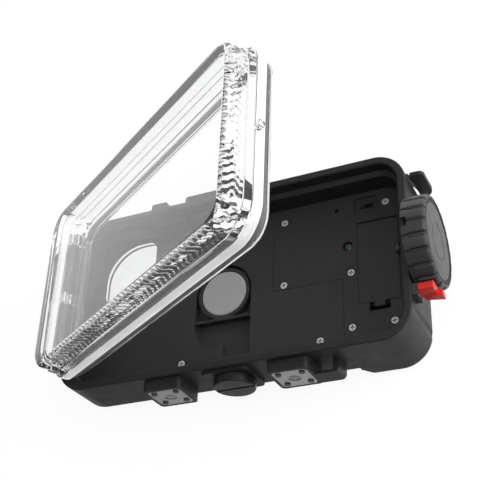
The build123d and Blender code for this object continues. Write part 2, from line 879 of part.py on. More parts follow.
with BuildPart() as reset_switch:
    with BuildSketch(Plane.XY.offset(board_face)):
        with Locations((reset_x, reset_y)):
            Rectangle(reset_size, reset_size)
    extrude(amount=reset_height)
    with BuildSketch(Plane.XY.offset(board_face + reset_height)):
        with Locations((reset_x, reset_y)):
            Circle(reset_button_radius)
    extrude(amount=reset_button_height)
reset_switch.part.label = "reset_switch"
export_step(reset_switch.part, "parts/reset_switch.step")

slot_x = switch_x + switch_slot_shift
slider_x = slot_x - switch_slot_length / 2 + slider_length / 2 + slider_gap
track_level = board_face + switch_body_height - switch_track_depth

with BuildPart() as power_switch:
    with BuildSketch(Plane.XY.offset(board_face)):
        with Locations((slot_x, switch_y)):
            Rectangle(switch_body_length, switch_body_width)
    extrude(amount=switch_body_height)
    with BuildSketch(Plane.XY.offset(board_face + switch_body_height)):
        with Locations((slot_x, switch_y)):
            Rectangle(switch_slot_length, switch_slot_width)
    extrude(amount=-switch_track_depth, mode=Mode.SUBTRACT)
power_switch.part.label = "power_switch"
export_step(power_switch.part, "parts/power_switch.step")

with BuildPart() as power_slider:
    with BuildSketch(Plane.XY.offset(track_level)):
        with Locations((slider_x, switch_y)):
            Rectangle(slider_length, slider_width)
    extrude(amount=plate_level - switch_recess_depth + slider_stand - track_level)
power_slider.part.label = "power_slider"
export_step(power_slider.part, "parts/power_slider.step")

shutter_switch_face = plunger_tip_y - plunger_travel - shutter_switch_gap

with BuildPart() as shutter_switch:
    with BuildSketch(Plane.XY.offset(board_face)):
        with Locations((plunger_x, shutter_switch_face - shutter_switch_size / 2)):
            Rectangle(shutter_switch_size, shutter_switch_size)
    extrude(amount=switch_body_height)
shutter_switch.part.label = "shutter_switch"
export_step(shutter_switch.part, "parts/shutter_switch.step")

# Battery tray, cells, contacts and door
tray_left = grip_x - grip_ramp + run - slope * floor_top + tray_gap
tray_right = half_length - bay_wall - 2 * tray_gap
tray_knee = floor_top - tray_knee_drop
cell_spots = [
    (door_x + cell_shift - cell_pitch / 2, cell_level),
    (door_x + cell_shift + cell_pitch / 2, cell_level),
]
trough_radius = cell_radius + cell_clearance
cell_space_low = door_middle_y - tray_inner_length / 2
cell_space_high = door_middle_y + tray_inner_length / 2

with BuildPart() as battery_tray:
    with BuildSketch(Plane.XZ.offset(-cell_space_high - tray_end_wall)):
        with BuildLine():
            Polyline(
                (tray_left + slope * tray_knee_drop, seat_level),
                (tray_left + slope * tray_knee_drop, tray_knee),
                (tray_left + slope * (floor_top - grip_floor), grip_floor),
                (tray_right, grip_floor),
                (tray_right, seat_level),
                close=True,
            )
        make_face()
    extrude(amount=tray_inner_length + 2 * tray_end_wall)
    with BuildSketch(Plane.XZ.offset(-cell_space_high)):
        with Locations(*cell_spots):
            Circle(trough_radius)
        with Locations((door_x + cell_shift, (cell_level + seat_level) / 2)):
            Rectangle(cell_pitch + 2 * trough_radius, seat_level - cell_level)
    extrude(amount=tray_inner_length, mode=Mode.SUBTRACT)
battery_tray.part.label = "battery_tray"
export_step(battery_tray.part, "parts/battery_tray.step")


def battery_cell(spot, nub_side):
    """One cell lying along Y with its raised end on the given side."""
    can_start = cell_space_high - contact_thickness - cell_nub_length
    if nub_side < 0:
        can_start = cell_space_low + contact_thickness + cell_nub_length + cell_length
    with BuildPart() as cell:
        with BuildSketch(Plane.XZ.offset(-can_start)):
            with Locations(spot):
                Circle(cell_radius)
        extrude(amount=cell_length)
        fillet(cell.edges().filter_by(GeomType.CIRCLE), 0.5)
        nub_start = can_start + cell_nub_length if nub_side > 0 else can_start - cell_length
        with BuildSketch(Plane.XZ.offset(-nub_start)):
            with Locations(spot):
                Circle(cell_nub_radius)
        extrude(amount=cell_nub_length)
    return cell.part


cell_left = battery_cell(cell_spots[0], 1)
cell_left.label = "battery_cell_left"
export_step(cell_left, "parts/battery_cell_left.step")
cell_right = battery_cell(cell_spots[1], -1)
cell_right.label = "battery_cell_right"
export_step(cell_right, "parts/battery_cell_right.step")

contact_reach = tray_inner_length - 2 * contact_thickness - cell_length - cell_nub_length

with BuildPart() as battery_contacts:
    for spot, cone_y in ((cell_spots[0], cell_space_low), (cell_spots[1], cell_space_high)):
        for plate_y in (cell_space_low + contact_thickness, cell_space_high):
            with BuildSketch(Plane.XZ.offset(-plate_y)):
                with Locations(spot):
                    Rectangle(contact_size, contact_size)
            extrude(amount=contact_thickness)
        inward = 1 if cone_y < door_middle_y else -1
        cone_start = cone_y + inward * contact_thickness
        with BuildSketch(Plane(origin=(spot[0], cone_start, spot[1]), z_dir=(0, inward, 0))):
            Circle(contact_cone_base)
        cone_end = cone_start + inward * contact_reach
        with BuildSketch(Plane(origin=(spot[0], cone_end, spot[1]), z_dir=(0, inward, 0))):
            Circle(contact_cone_tip)
        loft()
battery_contacts.part.label = "battery_contacts"
export_step(battery_contacts.part, "parts/battery_contacts.step")

with BuildPart() as battery_door:
    with BuildSketch(Plane.YZ.offset(door_x - door_width / 2)):
        with BuildLine():
            Polyline(
                (door_low, seat_level),
                (door_top - plate_thickness / 2, seat_level),
                (door_top - plate_thickness / 2, plate_level),
                (door_low, plate_level),
                close=True,
            )
        make_face()
        with Locations((door_top - plate_thickness / 2, seat_level + plate_thickness / 2)):
            Circle(plate_thickness / 2)
    extrude(amount=door_width)
    with BuildSketch(Plane.YZ.offset(door_x - door_width / 2 - door_pin_length)):
        with Locations((door_top - plate_thickness / 2, seat_level + plate_thickness / 2)):
            Circle(door_pin_radius)
    extrude(amount=door_width + 2 * door_pin_length)
    with BuildSketch(Plane.XY.offset(seat_level)):
        with Locations((door_x, door_low - latch_tongue_reach / 2)):
            Rectangle(latch_tongue_width, latch_tongue_reach)
    extrude(amount=plate_thickness)
battery_door.part.label = "battery_door"
export_step(battery_door.part, "parts/battery_door.step")

# Plug over the port on the long side
plug_face = plug_pad_stand + plug_gap

with BuildPart() as vacuum_plug:
    with BuildSketch(side_plane(plug_x, plug_level, plug_face)):
        Circle(plug_head_radius)
    extrude(amount=plug_head_height)
    fillet(vacuum_plug.faces().sort_by(Axis.Y)[0].edges(), plug_edge_radius)
    with BuildSketch(side_plane(plug_x, plug_level, plug_face)):
        Circle(plug_stem_radius)
    extrude(amount=-plug_stem_reach)
    with BuildSketch(side_plane(plug_x, plug_level, plug_face + plug_head_height)):
        Rectangle(2 * plug_head_radius, plug_slot_width)
    extrude(amount=-plug_slot_depth, mode=Mode.SUBTRACT)
vacuum_plug.part.label = "vacuum_plug"
export_step(vacuum_plug.part, "parts/vacuum_plug.step")

with BuildPart() as plug_seal:
    with BuildSketch(Plane.YZ.offset(plug_x)):
        with Locations((-half_width - plug_pad_stand + plug_seal_section, plug_level)):
            with Locations((0, plug_stem_radius + running_clearance + plug_seal_section)):
                Circle(plug_seal_section)
    revolve(axis=Axis((plug_x, 0, plug_level), (0, 1, 0)), revolution_arc=360)
plug_seal.part.label = "plug_seal"
export_step(plug_seal.part, "parts/plug_seal.step")


def mount_plate(mount_x):
    """Steel plate over one threaded insert."""
    with BuildPart() as plate:
        with BuildSketch(side_plane(mount_x, mount_level, mount_stand)):
            RectangleRounded(mount_plate_length, mount_plate_width, mount_plate_radius)
            Circle(mount_plate_hole, mode=Mode.SUBTRACT)
            with GridLocations(mount_screw_pitch_x, mount_screw_pitch_z, 2, 2):
                Circle(mount_screw_radius + running_clearance, mode=Mode.SUBTRACT)
        extrude(amount=-mount_plate_thickness)
    return plate.part


def thread_insert(mount_x):
    """Threaded brass-like insert under one plate."""
    with BuildPart() as insert:
        with BuildSketch(side_plane(mount_x, mount_level, mount_stand - mount_plate_thickness)):
            Circle(mount_insert_radius)
            Circle(mount_thread_radius, mode=Mode.SUBTRACT)
        extrude(amount=-mount_thread_length)
    return insert.part


plate_left = mount_plate(mount_x_left)
plate_left.label = "mount_plate_left"
export_step(plate_left, "parts/mount_plate_left.step")
plate_right = mount_plate(mount_x_right)
plate_right.label = "mount_plate_right"
export_step(plate_right, "parts/mount_plate_right.step")
insert_left = thread_insert(mount_x_left)
insert_left.label = "thread_insert_left"
export_step(insert_left, "parts/thread_insert_left.step")
insert_right = thread_insert(mount_x_right)
insert_right.label = "thread_insert_right"
export_step(insert_right, "parts/thread_insert_right.step")

with BuildPart() as mount_screws:
    for mount_x in (mount_x_left, mount_x_right):
        with BuildSketch(side_plane(mount_x, mount_level, mount_stand)):
            with GridLocations(mount_screw_pitch_x, mount_screw_pitch_z, 2, 2):
                Circle(mount_screw_head)
        extrude(amount=mount_screw_head_height)
        with BuildSketch(side_plane(mount_x, mount_level, mount_stand)):
            with GridLocations(mount_screw_pitch_x, mount_screw_pitch_z, 2, 2):
                Circle(mount_screw_radius)
        extrude(amount=-mount_screw_length)
mount_screws.part.label = "mount_screws"
export_step(mount_screws.part, "parts/mount_screws.step")

# Clear cover, drawn on a plane that turns with it about the hinge
turn = radians(open_angle)
lid_plane = Plane(
    origin=(hinge_x, 0, hinge_z),
    x_dir=(cos(turn), 0, sin(turn)),
    z_dir=(-sin(turn), 0, cos(turn)),
)
cover_low = rim_level + cover_rim_gap
cover_left = -half_length + cover_hinge_gap
cover_right = half_length - cover_end_gap
cover_side = half_width - cover_side_step
cover_top = cover_low + cover_height
tongue_low = cover_low - tongue_depth
tongue_inset = seal_wall + tongue_gap
peg_level = knob_level + cam_slot_radius


def lid_outline(x_low, x_high, half_y, radius, level):
    """Rounded outline on the cover, placed as if the cover were closed."""
    with BuildSketch(lid_plane.offset(level - hinge_z)) as shape:
        with Locations(((x_low + x_high) / 2 - hinge_x, 0)):
            RectangleRounded(x_high - x_low, 2 * half_y, radius)
    return shape.sketch


def lid_wall(inset, level):
    """Outline of the cover's own outer wall, inset from the flange."""
    return lid_outline(
        cover_left + inset, cover_right - inset, cover_side - inset, cover_corner - inset, level
    )


def lid_ring(inset, level):
    """Outline that follows the body's rim, inset from the body's outer face."""
    return lid_outline(
        -half_length + inset, half_length - inset, half_width - inset, corner_radius - inset, level
    )


def hinge_plane(y):
    """A plane across the hinge axis that turns with the cover."""
    return Plane(origin=(hinge_x, y, hinge_z), x_dir=lid_plane.x_dir, z_dir=(0, -1, 0))


flange_top = cover_low + flange_height
step_top = flange_top + step_height
chamfer_low = cover_top - cover_top_chamfer

with BuildPart() as clear_cover:
    extrude(lid_wall(0, cover_low), amount=flange_height)
    extrude(lid_wall(step_inset, flange_top), amount=step_height)
    extrude(lid_wall(wall_inset, step_top), amount=chamfer_low - step_top)
    loft([lid_wall(wall_inset, chamfer_low), lid_wall(cover_top_inset, cover_top)])
    extrude(lid_ring(tongue_inset, tongue_low), amount=tongue_depth)
    cavity = lid_ring(tongue_inset + tongue_wall, tongue_low)
    extrude(cavity, amount=cover_top - pane_thickness - tongue_low, mode=Mode.SUBTRACT)

    # groove for the seal
    groove_low = tongue_low + groove_above_edge
    extrude(lid_ring(tongue_inset - 0.05, groove_low), amount=groove_width, mode=Mode.SUBTRACT)
    groove_back = lid_ring(tongue_inset + groove_depth, groove_low)
    extrude(groove_back, amount=groove_width)
    extrude(cavity, amount=cover_top - pane_thickness - tongue_low, mode=Mode.SUBTRACT)

    # hinge: room for the body's knuckles, then the cover's own
    for side in (-1, 1):
        knuckle_y = side * (knuckle_short / 2 + knuckle_gap + knuckle_long / 2)
        start = knuckle_y + knuckle_long / 2 + knuckle_gap
        with BuildSketch(hinge_plane(start)):
            Circle(knuckle_radius + hinge_cut_gap)
        extrude(amount=knuckle_long + 2 * knuckle_gap, mode=Mode.SUBTRACT)
    outer_start = knuckle_short / 2 + 2 * knuckle_gap + knuckle_long
    for start in (knuckle_short / 2, outer_start + knuckle_short, -outer_start):
        with BuildSketch(hinge_plane(start)):
            Circle(knuckle_radius)
            with Locations((cover_hinge_gap, 0)):
                Rectangle(2 * cover_hinge_gap, 2 * knuckle_radius)
        extrude(amount=knuckle_short)
        with BuildSketch(hinge_plane(start)):
            Circle(hinge_pin_radius + running_clearance)
        extrude(amount=knuckle_short, mode=Mode.SUBTRACT)

    # peg that the knob's cam catches
    peg_root = lid_plane.from_local_coords((cover_right - hinge_x, 0, peg_level - hinge_z))
    with BuildSketch(Plane(origin=peg_root, x_dir=(0, 1, 0), z_dir=lid_plane.x_dir)):
        Circle(peg_radius)
    extrude(amount=peg_reach)
clear_cover.part.label = "clear_cover"
export_step(clear_cover.part, "parts/clear_cover.step")

seal_low = groove_low + seal_play
seal_height = groove_width - 2 * seal_play

with BuildPart() as cover_seal:
    extrude(lid_ring(seal_wall + seal_gap, seal_low), amount=seal_height)
    seal_back = lid_ring(tongue_inset + groove_depth - seal_play, seal_low)
    extrude(seal_back, amount=seal_height, mode=Mode.SUBTRACT)
    rings = cover_seal.faces().sort_by(lambda f: lid_plane.to_local_coords(f.center()).Z)
    fillet(rings[0].outer_wire().edges() + rings[-1].outer_wire().edges(), seal_edge_radius)
cover_seal.part.label = "cover_seal"
export_step(cover_seal.part, "parts/cover_seal.step")

pin_half = outer_start + knuckle_short

with BuildPart() as hinge_pin:
    with BuildSketch(Plane.XZ.offset(-pin_half)):
        with Locations((hinge_x, hinge_z)):
            Circle(hinge_pin_radius)
    extrude(amount=2 * pin_half)
hinge_pin.part.label = "hinge_pin"
export_step(hinge_pin.part, "parts/hinge_pin.step")


def grooved_disc(radius, x_low, thickness):
    """A disc on the knob axis with grip grooves round its edge."""
    with BuildSketch(end_plane(0, knob_level, x_low - half_length)) as shape:
        Circle(radius)
        with PolarLocations(radius, knob_grooves):
            RectangleRounded(2 * knob_groove_depth, knob_groove_width, 0.4, mode=Mode.SUBTRACT)
    return extrude(shape.sketch, amount=thickness)


# Knob, face disc, latch cam and shaft
with BuildPart() as knob:
    with BuildSketch(end_plane(0, knob_level, knob_x - half_length)):
        Circle(knob_radius)
    extrude(amount=knob_depth)
    chamfer(knob.faces().sort_by(Axis.X)[-1].edges(), knob_edge)
    add(grooved_disc(knob_radius, knob_x, knob_depth), mode=Mode.INTERSECT)
    with BuildSketch(end_plane(0, knob_level, knob_x + knob_depth - half_length)):
        Circle(face_radius + face_gap)
    extrude(amount=-face_recess, mode=Mode.SUBTRACT)
    with BuildSketch(end_plane(0, knob_level, knob_x - half_length)):
        Circle(shaft_radius)
    extrude(amount=shaft_into_knob, mode=Mode.SUBTRACT)
knob.part.label = "knob"
export_step(knob.part, "parts/knob.step")

face_x = knob_x + knob_depth - face_recess

with BuildPart() as knob_face:
    with BuildSketch(end_plane(0, knob_level, face_x - half_length)):
        Circle(face_radius)
    extrude(amount=face_thickness)
    with BuildSketch(end_plane(0, knob_level, face_x + face_thickness - half_length)):
        Circle(face_ring_radius)
        Circle(face_ring_radius - face_ring_width, mode=Mode.SUBTRACT)
    extrude(amount=-face_ring_depth, mode=Mode.SUBTRACT)
knob_face.part.label = "knob_face"
export_step(knob_face.part, "parts/knob_face.step")

with BuildPart() as latch_cam:
    add(grooved_disc(knob_radius, cam_x, cam_thickness))
    end_radius = cam_slot_radius - cam_slot_draw
    mid_radius = cam_slot_radius - cam_slot_draw / 2
    end_turn = radians(90 - cam_turn - cam_overrun)
    mid_turn = radians(90 - (cam_turn + cam_overrun) / 2)
    with BuildSketch(end_plane(0, knob_level, cam_x - half_length)):
        with BuildLine():
            path = ThreePointArc(
                (0, cam_slot_radius),
                (mid_radius * cos(mid_turn), mid_radius * sin(mid_turn)),
                (end_radius * cos(end_turn), end_radius * sin(end_turn)),
            )
        SlotArc(path, cam_slot_width)
        with Locations((0, cam_slot_radius + knob_radius / 2)):
            Rectangle(cam_slot_width, knob_radius)
        Circle(shaft_radius)
    extrude(amount=cam_thickness, mode=Mode.SUBTRACT)
latch_cam.part.label = "latch_cam"
export_step(latch_cam.part, "parts/latch_cam.step")

shaft_start = half_length - seat_wall - shaft_inner_reach
clip_x = half_length - seat_wall - plug_gap - clip_thickness

with BuildPart() as knob_shaft:
    with BuildSketch(end_plane(0, knob_level, shaft_start - half_length)):
        Circle(shaft_radius)
    extrude(amount=knob_x + shaft_into_knob - shaft_start)
    with BuildSketch(end_plane(0, knob_level, clip_x - half_length)):
        Circle(shaft_radius + clip_groove)
        Circle(shaft_radius - clip_groove, mode=Mode.SUBTRACT)
    extrude(amount=clip_thickness, mode=Mode.SUBTRACT)
knob_shaft.part.label = "knob_shaft"
export_step(knob_shaft.part, "parts/knob_shaft.step")

with BuildPart() as shaft_clip:
    with BuildSketch(end_plane(0, knob_level, clip_x - half_length)):
        Circle(clip_radius)
        Circle(shaft_radius - clip_groove, mode=Mode.SUBTRACT)
        with Locations((0, -clip_radius / 2)):
            Rectangle(2 * (shaft_radius - clip_groove), clip_radius + 1, mode=Mode.SUBTRACT)
    extrude(amount=clip_thickness)
shaft_clip.part.label = "shaft_clip"
export_step(shaft_clip.part, "parts/shaft_clip.step")

with BuildPart() as shaft_seal:
    seal_x = half_length - seal_seat_gap - shaft_seal_section
    with BuildSketch(Plane.XZ):
        with Locations((seal_x, knob_level + shaft_radius + running_clearance + shaft_seal_section)):
            Circle(shaft_seal_section)
    revolve(axis=Axis((0, 0, knob_level), (1, 0, 0)), revolution_arc=360)
shaft_seal.part.label = "shaft_seal"
export_step(shaft_seal.part, "parts/shaft_seal.step")

# Safety lock below the knob: a black slide block and a red sliding catch
lock_low_y = lock_top_y - lock_height
housing_low_y = lock_low_y - lock_travel - housing_foot - housing_margin / 2
cavity_low_y = lock_low_y - lock_travel - housing_margin / 2
cavity_high_y = lock_top_y - housing_margin / 2
ear_x = half_length + housing_back
lip_x = half_length + housing_depth - housing_lip
lock_back_x = half_length + housing_depth + slide_gap

with BuildPart() as lock_housing:
    with BuildSketch(end_plane(0, 0, 0)):
        with Locations(((housing_low_y + lock_top_y) / 2, (lock_low + lock_high) / 2)):
            RectangleRounded(lock_top_y - housing_low_y, lock_high - lock_low + housing_margin, 1.0)
    extrude(amount=housing_depth)
    with BuildSketch(end_plane(0, 0, housing_back)):
        with Locations(((cavity_low_y + cavity_high_y) / 2, (slide_low + slide_high) / 2)):
            Rectangle(cavity_high_y - cavity_low_y, slide_high - slide_low + 2 * (slide_ear + slide_gap))
    extrude(amount=lip_x - ear_x, mode=Mode.SUBTRACT)
    with BuildSketch(end_plane(0, 0, housing_depth)):
        with Locations(((cavity_low_y + cavity_high_y) / 2, (slide_low + slide_high) / 2)):
            Rectangle(cavity_high_y - cavity_low_y, slide_high - slide_low + 2 * slide_gap)
    extrude(amount=-housing_lip, mode=Mode.SUBTRACT)
lock_housing.part.label = "lock_housing"
export_step(lock_housing.part, "parts/lock_housing.step")

tongue_high_y = cavity_high_y - running_clearance
tongue_low_y = cavity_low_y + lock_travel + running_clearance
pocket_x = half_length + housing_back + lock_spring_radius + lock_spring_wire + lock_spring_gap

with BuildPart() as lock_lever:
    with BuildSketch(end_plane(0, 0, housing_depth + slide_gap)):
        with Locations(((lock_low_y + lock_top_y) / 2, (lock_low + lock_high) / 2)):
            RectangleRounded(lock_height, lock_high - lock_low, 1.4)
    extrude(amount=lock_thickness)
    with BuildSketch(Plane.XY.offset(lock_tab_low)):
        with BuildLine():
            Polyline(
                (lock_back_x + lock_thickness - 2.0, lock_top_y - 1.4),
                (lock_back_x + lock_thickness + lock_tab_reach, lock_top_y - 1.4 - lock_tab_drop / 2),
                (lock_back_x + lock_thickness + lock_tab_reach, lock_low_y - lock_tab_drop / 2),
                (lock_back_x + 1.0, lock_low_y),
                close=True,
            )
        make_face()
    extrude(amount=lock_tab_high - lock_tab_low)
    with BuildSketch(end_plane(0, 0, housing_depth + slide_gap)):
        with Locations(((tongue_low_y + tongue_high_y) / 2, (slide_low + slide_high) / 2)):
            Rectangle(tongue_high_y - tongue_low_y, slide_high - slide_low)
    extrude(amount=-(lock_back_x - ear_x - slide_gap / 2))
    with BuildSketch(end_plane(0, 0, housing_back + slide_gap / 2)):
        with Locations(((tongue_low_y + tongue_high_y) / 2, (slide_low + slide_high) / 2)):
            Rectangle(tongue_high_y - tongue_low_y, slide_high - slide_low + 2 * slide_ear)
    extrude(amount=lip_x - ear_x - slide_gap)
    with BuildSketch(Plane.XZ.offset(-tongue_low_y)):
        with Locations((pocket_x, lock_spring_level)):
            Rectangle(2 * lock_pocket_half, 2 * lock_pocket_half)
    extrude(amount=-lock_pocket_depth, mode=Mode.SUBTRACT)
lock_lever.part.label = "lock_lever"
export_step(lock_lever.part, "parts/lock_lever.step")


def coil_spring(start, length, radius, wire, pitch):
    """A round-wire spring along Y from a start point."""
    with BuildPart() as spring:
        with BuildLine():
            path = Helix(pitch, length - 2 * wire, radius, center=start, direction=(0, 1, 0))
        with BuildSketch(Plane(origin=path @ 0, z_dir=path % 0)):
            Circle(wire)
        sweep()
    return spring.part


lock_coil = coil_spring(
    (pocket_x, cavity_low_y + lock_spring_wire + spring_end_gap, lock_spring_level),
    tongue_low_y + lock_pocket_depth - cavity_low_y - 2 * spring_end_gap - lock_travel,
    lock_spring_radius,
    lock_spring_wire,
    lock_spring_pitch,
)
lock_coil.label = "lock_spring"
export_step(lock_coil, "parts/lock_spring.step")

# Shutter lever, its pin, and the plunger it presses
lever_outer = -(lever_gap + lever_thickness)

with BuildPart() as shutter_lever:
    with BuildSketch(Plane.XY.offset(lever_low)) as band:
        add(outline(lever_outer, lever_low))
        add(outline(-lever_gap, lever_low), mode=Mode.SUBTRACT)
        with Locations((pivot_x + body_length / 2, lever_tip_y + body_width / 2)):
            Rectangle(body_length, body_width, mode=Mode.INTERSECT)
        with Locations((pivot_x, pivot_y)):
            Circle(lever_eye_radius)
        with Locations((plunger_x, plunger_pocket_y - lever_gap)):
            Rectangle(2 * plunger_head_radius + 1, 2 * lever_gap, mode=Mode.SUBTRACT)
        with Locations((pivot_x, pivot_y)):
            Circle(lever_pin_radius + running_clearance, mode=Mode.SUBTRACT)
    extrude(amount=lever_high - lever_low)

    # finger paddle at the lever's end, standing out past the body's end
    with BuildSketch(Plane.XZ.offset(-lever_tip_y - paddle_thickness)) as paddle:
        with BuildLine():
            Polyline(
                (half_length + paddle_gap, lever_low),
                (half_length + paddle_out, lever_low),
                (half_length + paddle_out, paddle_high),
                (half_length + paddle_gap, paddle_high),
                close=True,
            )
        make_face()
        outer = paddle.vertices().group_by(Axis.X)[-1].sort_by(Axis.Z)
        fillet(outer[-1], paddle_corner)
        heel = paddle.vertices().group_by(Axis.Z)[0].sort_by(Axis.X)[-1]
        fillet(heel, paddle_heel)
    extrude(amount=paddle_thickness)
shutter_lever.part.label = "shutter_lever"
export_step(shutter_lever.part, "parts/shutter_lever.step")

pin_low = lever_low - lever_ear_gap - lever_ear_thickness
pin_high = lever_high + lever_ear_gap + lever_ear_thickness

with BuildPart() as lever_pin:
    with BuildSketch(Plane.XY.offset(pin_low)):
        with Locations((pivot_x, pivot_y)):
            Circle(lever_pin_radius)
    extrude(amount=pin_high - pin_low)
lever_pin.part.label = "lever_pin"
export_step(lever_pin.part, "parts/lever_pin.step")

plunger_top = plunger_pocket_y - plunger_gap
head_low = plunger_top - plunger_head_height

with BuildPart() as shutter_plunger:
    with BuildSketch(Plane.XZ.offset(-plunger_top)):
        with Locations((plunger_x, plunger_level)):
            Circle(plunger_head_radius)
    extrude(amount=plunger_head_height)
    fillet(shutter_plunger.faces().sort_by(Axis.Y)[-1].edges(), plunger_head_height - 0.1)
    with BuildSketch(Plane.XZ.offset(-head_low)):
        with Locations((plunger_x, plunger_level)):
            Circle(plunger_radius)
    extrude(amount=head_low - plunger_tip_y)
shutter_plunger.part.label = "shutter_plunger"
export_step(shutter_plunger.part, "parts/shutter_plunger.step")

seal_shoulder = half_width - bay_wall + 1
seal_ring_radius = plunger_radius + running_clearance + plunger_seal_section

with BuildPart() as plunger_seal:
    with BuildSketch(Plane.YZ.offset(plunger_x)):
        with Locations((seal_shoulder - plunger_seal_section, plunger_level + seal_ring_radius)):
            Circle(plunger_seal_section)
    revolve(axis=Axis((plunger_x, 0, plunger_level), (0, 1, 0)), revolution_arc=360)
plunger_seal.part.label = "plunger_seal"
export_step(plunger_seal.part, "parts/plunger_seal.step")

well_low = half_width - spring_well_depth
plunger_coil = coil_spring(
    (plunger_x, well_low + plunger_spring_wire + spring_end_gap, plunger_level),
    head_low - well_low - 2 * spring_end_gap - plunger_travel,
    plunger_spring_radius,
    plunger_spring_wire,
    plunger_spring_pitch,
)
plunger_coil.label = "plunger_spring"
export_step(plunger_coil, "parts/plunger_spring.step")
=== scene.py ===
"""Waterproof phone case with its clear cover swung open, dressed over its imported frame."""
import math

import bmesh
import bpy
from mathutils import Matrix, Vector


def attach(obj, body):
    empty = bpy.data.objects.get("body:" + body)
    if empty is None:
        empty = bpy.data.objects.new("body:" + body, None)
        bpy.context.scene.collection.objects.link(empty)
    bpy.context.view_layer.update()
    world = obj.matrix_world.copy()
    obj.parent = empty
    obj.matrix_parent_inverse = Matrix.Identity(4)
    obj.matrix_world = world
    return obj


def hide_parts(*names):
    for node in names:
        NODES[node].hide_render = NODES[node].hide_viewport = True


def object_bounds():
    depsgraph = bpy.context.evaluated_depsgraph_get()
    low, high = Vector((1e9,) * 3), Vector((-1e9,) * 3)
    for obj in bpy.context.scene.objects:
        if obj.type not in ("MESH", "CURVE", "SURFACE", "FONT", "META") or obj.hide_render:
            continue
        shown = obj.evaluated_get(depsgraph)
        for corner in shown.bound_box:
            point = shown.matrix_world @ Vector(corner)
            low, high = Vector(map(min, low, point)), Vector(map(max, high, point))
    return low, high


bl_info = {
    "name": "Waterproof Phone Case",
    "version": (1, 0, 0),
    "blender": (4, 5, 0),
    "location": "View3D > Sidebar > Phone Case",
    "description": "Dresses a hard waterproof phone case with a clear hinged cover",
    "category": "Add Mesh",
}

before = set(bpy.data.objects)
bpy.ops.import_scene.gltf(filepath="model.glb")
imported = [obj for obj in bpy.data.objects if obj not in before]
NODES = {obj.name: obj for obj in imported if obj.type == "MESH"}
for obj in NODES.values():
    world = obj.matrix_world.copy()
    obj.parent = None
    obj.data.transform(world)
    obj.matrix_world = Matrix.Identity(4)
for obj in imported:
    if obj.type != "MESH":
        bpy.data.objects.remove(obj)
CAD_BOX = [list(corner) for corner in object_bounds()]
MM = 0.001

# The hinge line, the angle at which the cover stands open and the knob's height, as in the frame
HINGE = Vector((-99.7, 0.0, 32.9))
OPEN_ANGLE = math.radians(31.8)
KNOB_LEVEL = 20.0

# Edges that turn by more than this stay sharp
SHARP_LIMIT = math.radians(35.0)

# The photograph's camera: its place, and its right, down and forward directions
CAMERA_PLACE = (0.21651, -0.25697, 0.43981)
CAMERA_RIGHT = Vector((0.900667, 0.036385, -0.432984))
CAMERA_DOWN = Vector((-0.19488, -0.856815, -0.477378))
CAMERA_AHEAD = Vector((-0.388357, 0.514339, -0.764614))

# The side that the room's light comes from
BRIGHT_SIDE = (0.25, 0.77, -0.59)

# How brushed metal's grain runs: the same every way, along X and along Y
EVEN_GRAIN = (300.0, 300.0, 300.0)
GRAIN_ALONG_X = (40.0, 700.0, 700.0)
GRAIN_ALONG_Y = (500.0, 60.0, 500.0)


# Small helpers for node materials

def new_material(name):
    """A fresh node material with its Principled shader and its output."""
    mat = bpy.data.materials.new(name)
    mat.use_nodes = True
    tree = mat.node_tree
    tree.nodes.clear()
    out = tree.nodes.new("ShaderNodeOutputMaterial")
    shader = tree.nodes.new("ShaderNodeBsdfPrincipled")
    tree.links.new(shader.outputs["BSDF"], out.inputs["Surface"])
    return mat, tree, shader


def object_coords(tree, stretch=(1.0, 1.0, 1.0)):
    """Object coordinates, stretched along the axes."""
    coords = tree.nodes.new("ShaderNodeTexCoord")
    mapping = tree.nodes.new("ShaderNodeMapping")
    mapping.inputs["Scale"].default_value = stretch
    tree.links.new(coords.outputs["Object"], mapping.inputs["Vector"])
    return mapping.outputs["Vector"]


def noise(tree, vector, scale, detail=3.0, roughness=0.5):
    """A noise texture's factor."""
    tex = tree.nodes.new("ShaderNodeTexNoise")
    tex.inputs["Scale"].default_value = scale
    tex.inputs["Detail"].default_value = detail
    tex.inputs["Roughness"].default_value = roughness
    tree.links.new(vector, tex.inputs["Vector"])
    return tex.outputs["Fac"]


def remap(tree, value, low, high, out_low, out_high):
    """A value moved from one range to another, clamped."""
    node = tree.nodes.new("ShaderNodeMapRange")
    node.inputs["From Min"].default_value = low
    node.inputs["From Max"].default_value = high
    node.inputs["To Min"].default_value = out_low
    node.inputs["To Max"].default_value = out_high
    tree.links.new(value, node.inputs["Value"])
    return node.outputs["Result"]


def mix_colour(tree, factor, first, second):
    """Two colours mixed by a factor; each is a tuple or a socket."""
    node = tree.nodes.new("ShaderNodeMix")
    node.data_type = "RGBA"
    for socket, value in ((node.inputs["A"], first), (node.inputs["B"], second)):
        if isinstance(value, tuple):
            socket.default_value = (*value, 1.0)
        else:
            tree.links.new(value, socket)
    tree.links.new(factor, node.inputs["Factor"])
    return node.outputs["Result"]


def edge_mask(tree, radius):
    """A rounded normal and a mask that is 1 along sharp edges."""
    bevel = tree.nodes.new("ShaderNodeBevel")
    bevel.samples = 4
    bevel.inputs["Radius"].default_value = radius
    geometry = tree.nodes.new("ShaderNodeNewGeometry")
    dot = tree.nodes.new("ShaderNodeVectorMath")
    dot.operation = "DOT_PRODUCT"
    tree.links.new(bevel.outputs["Normal"], dot.inputs[0])
    tree.links.new(geometry.outputs["Normal"], dot.inputs[1])
    return bevel.outputs["Normal"], remap(tree, dot.outputs["Value"], 0.99, 0.8, 0.0, 1.0)


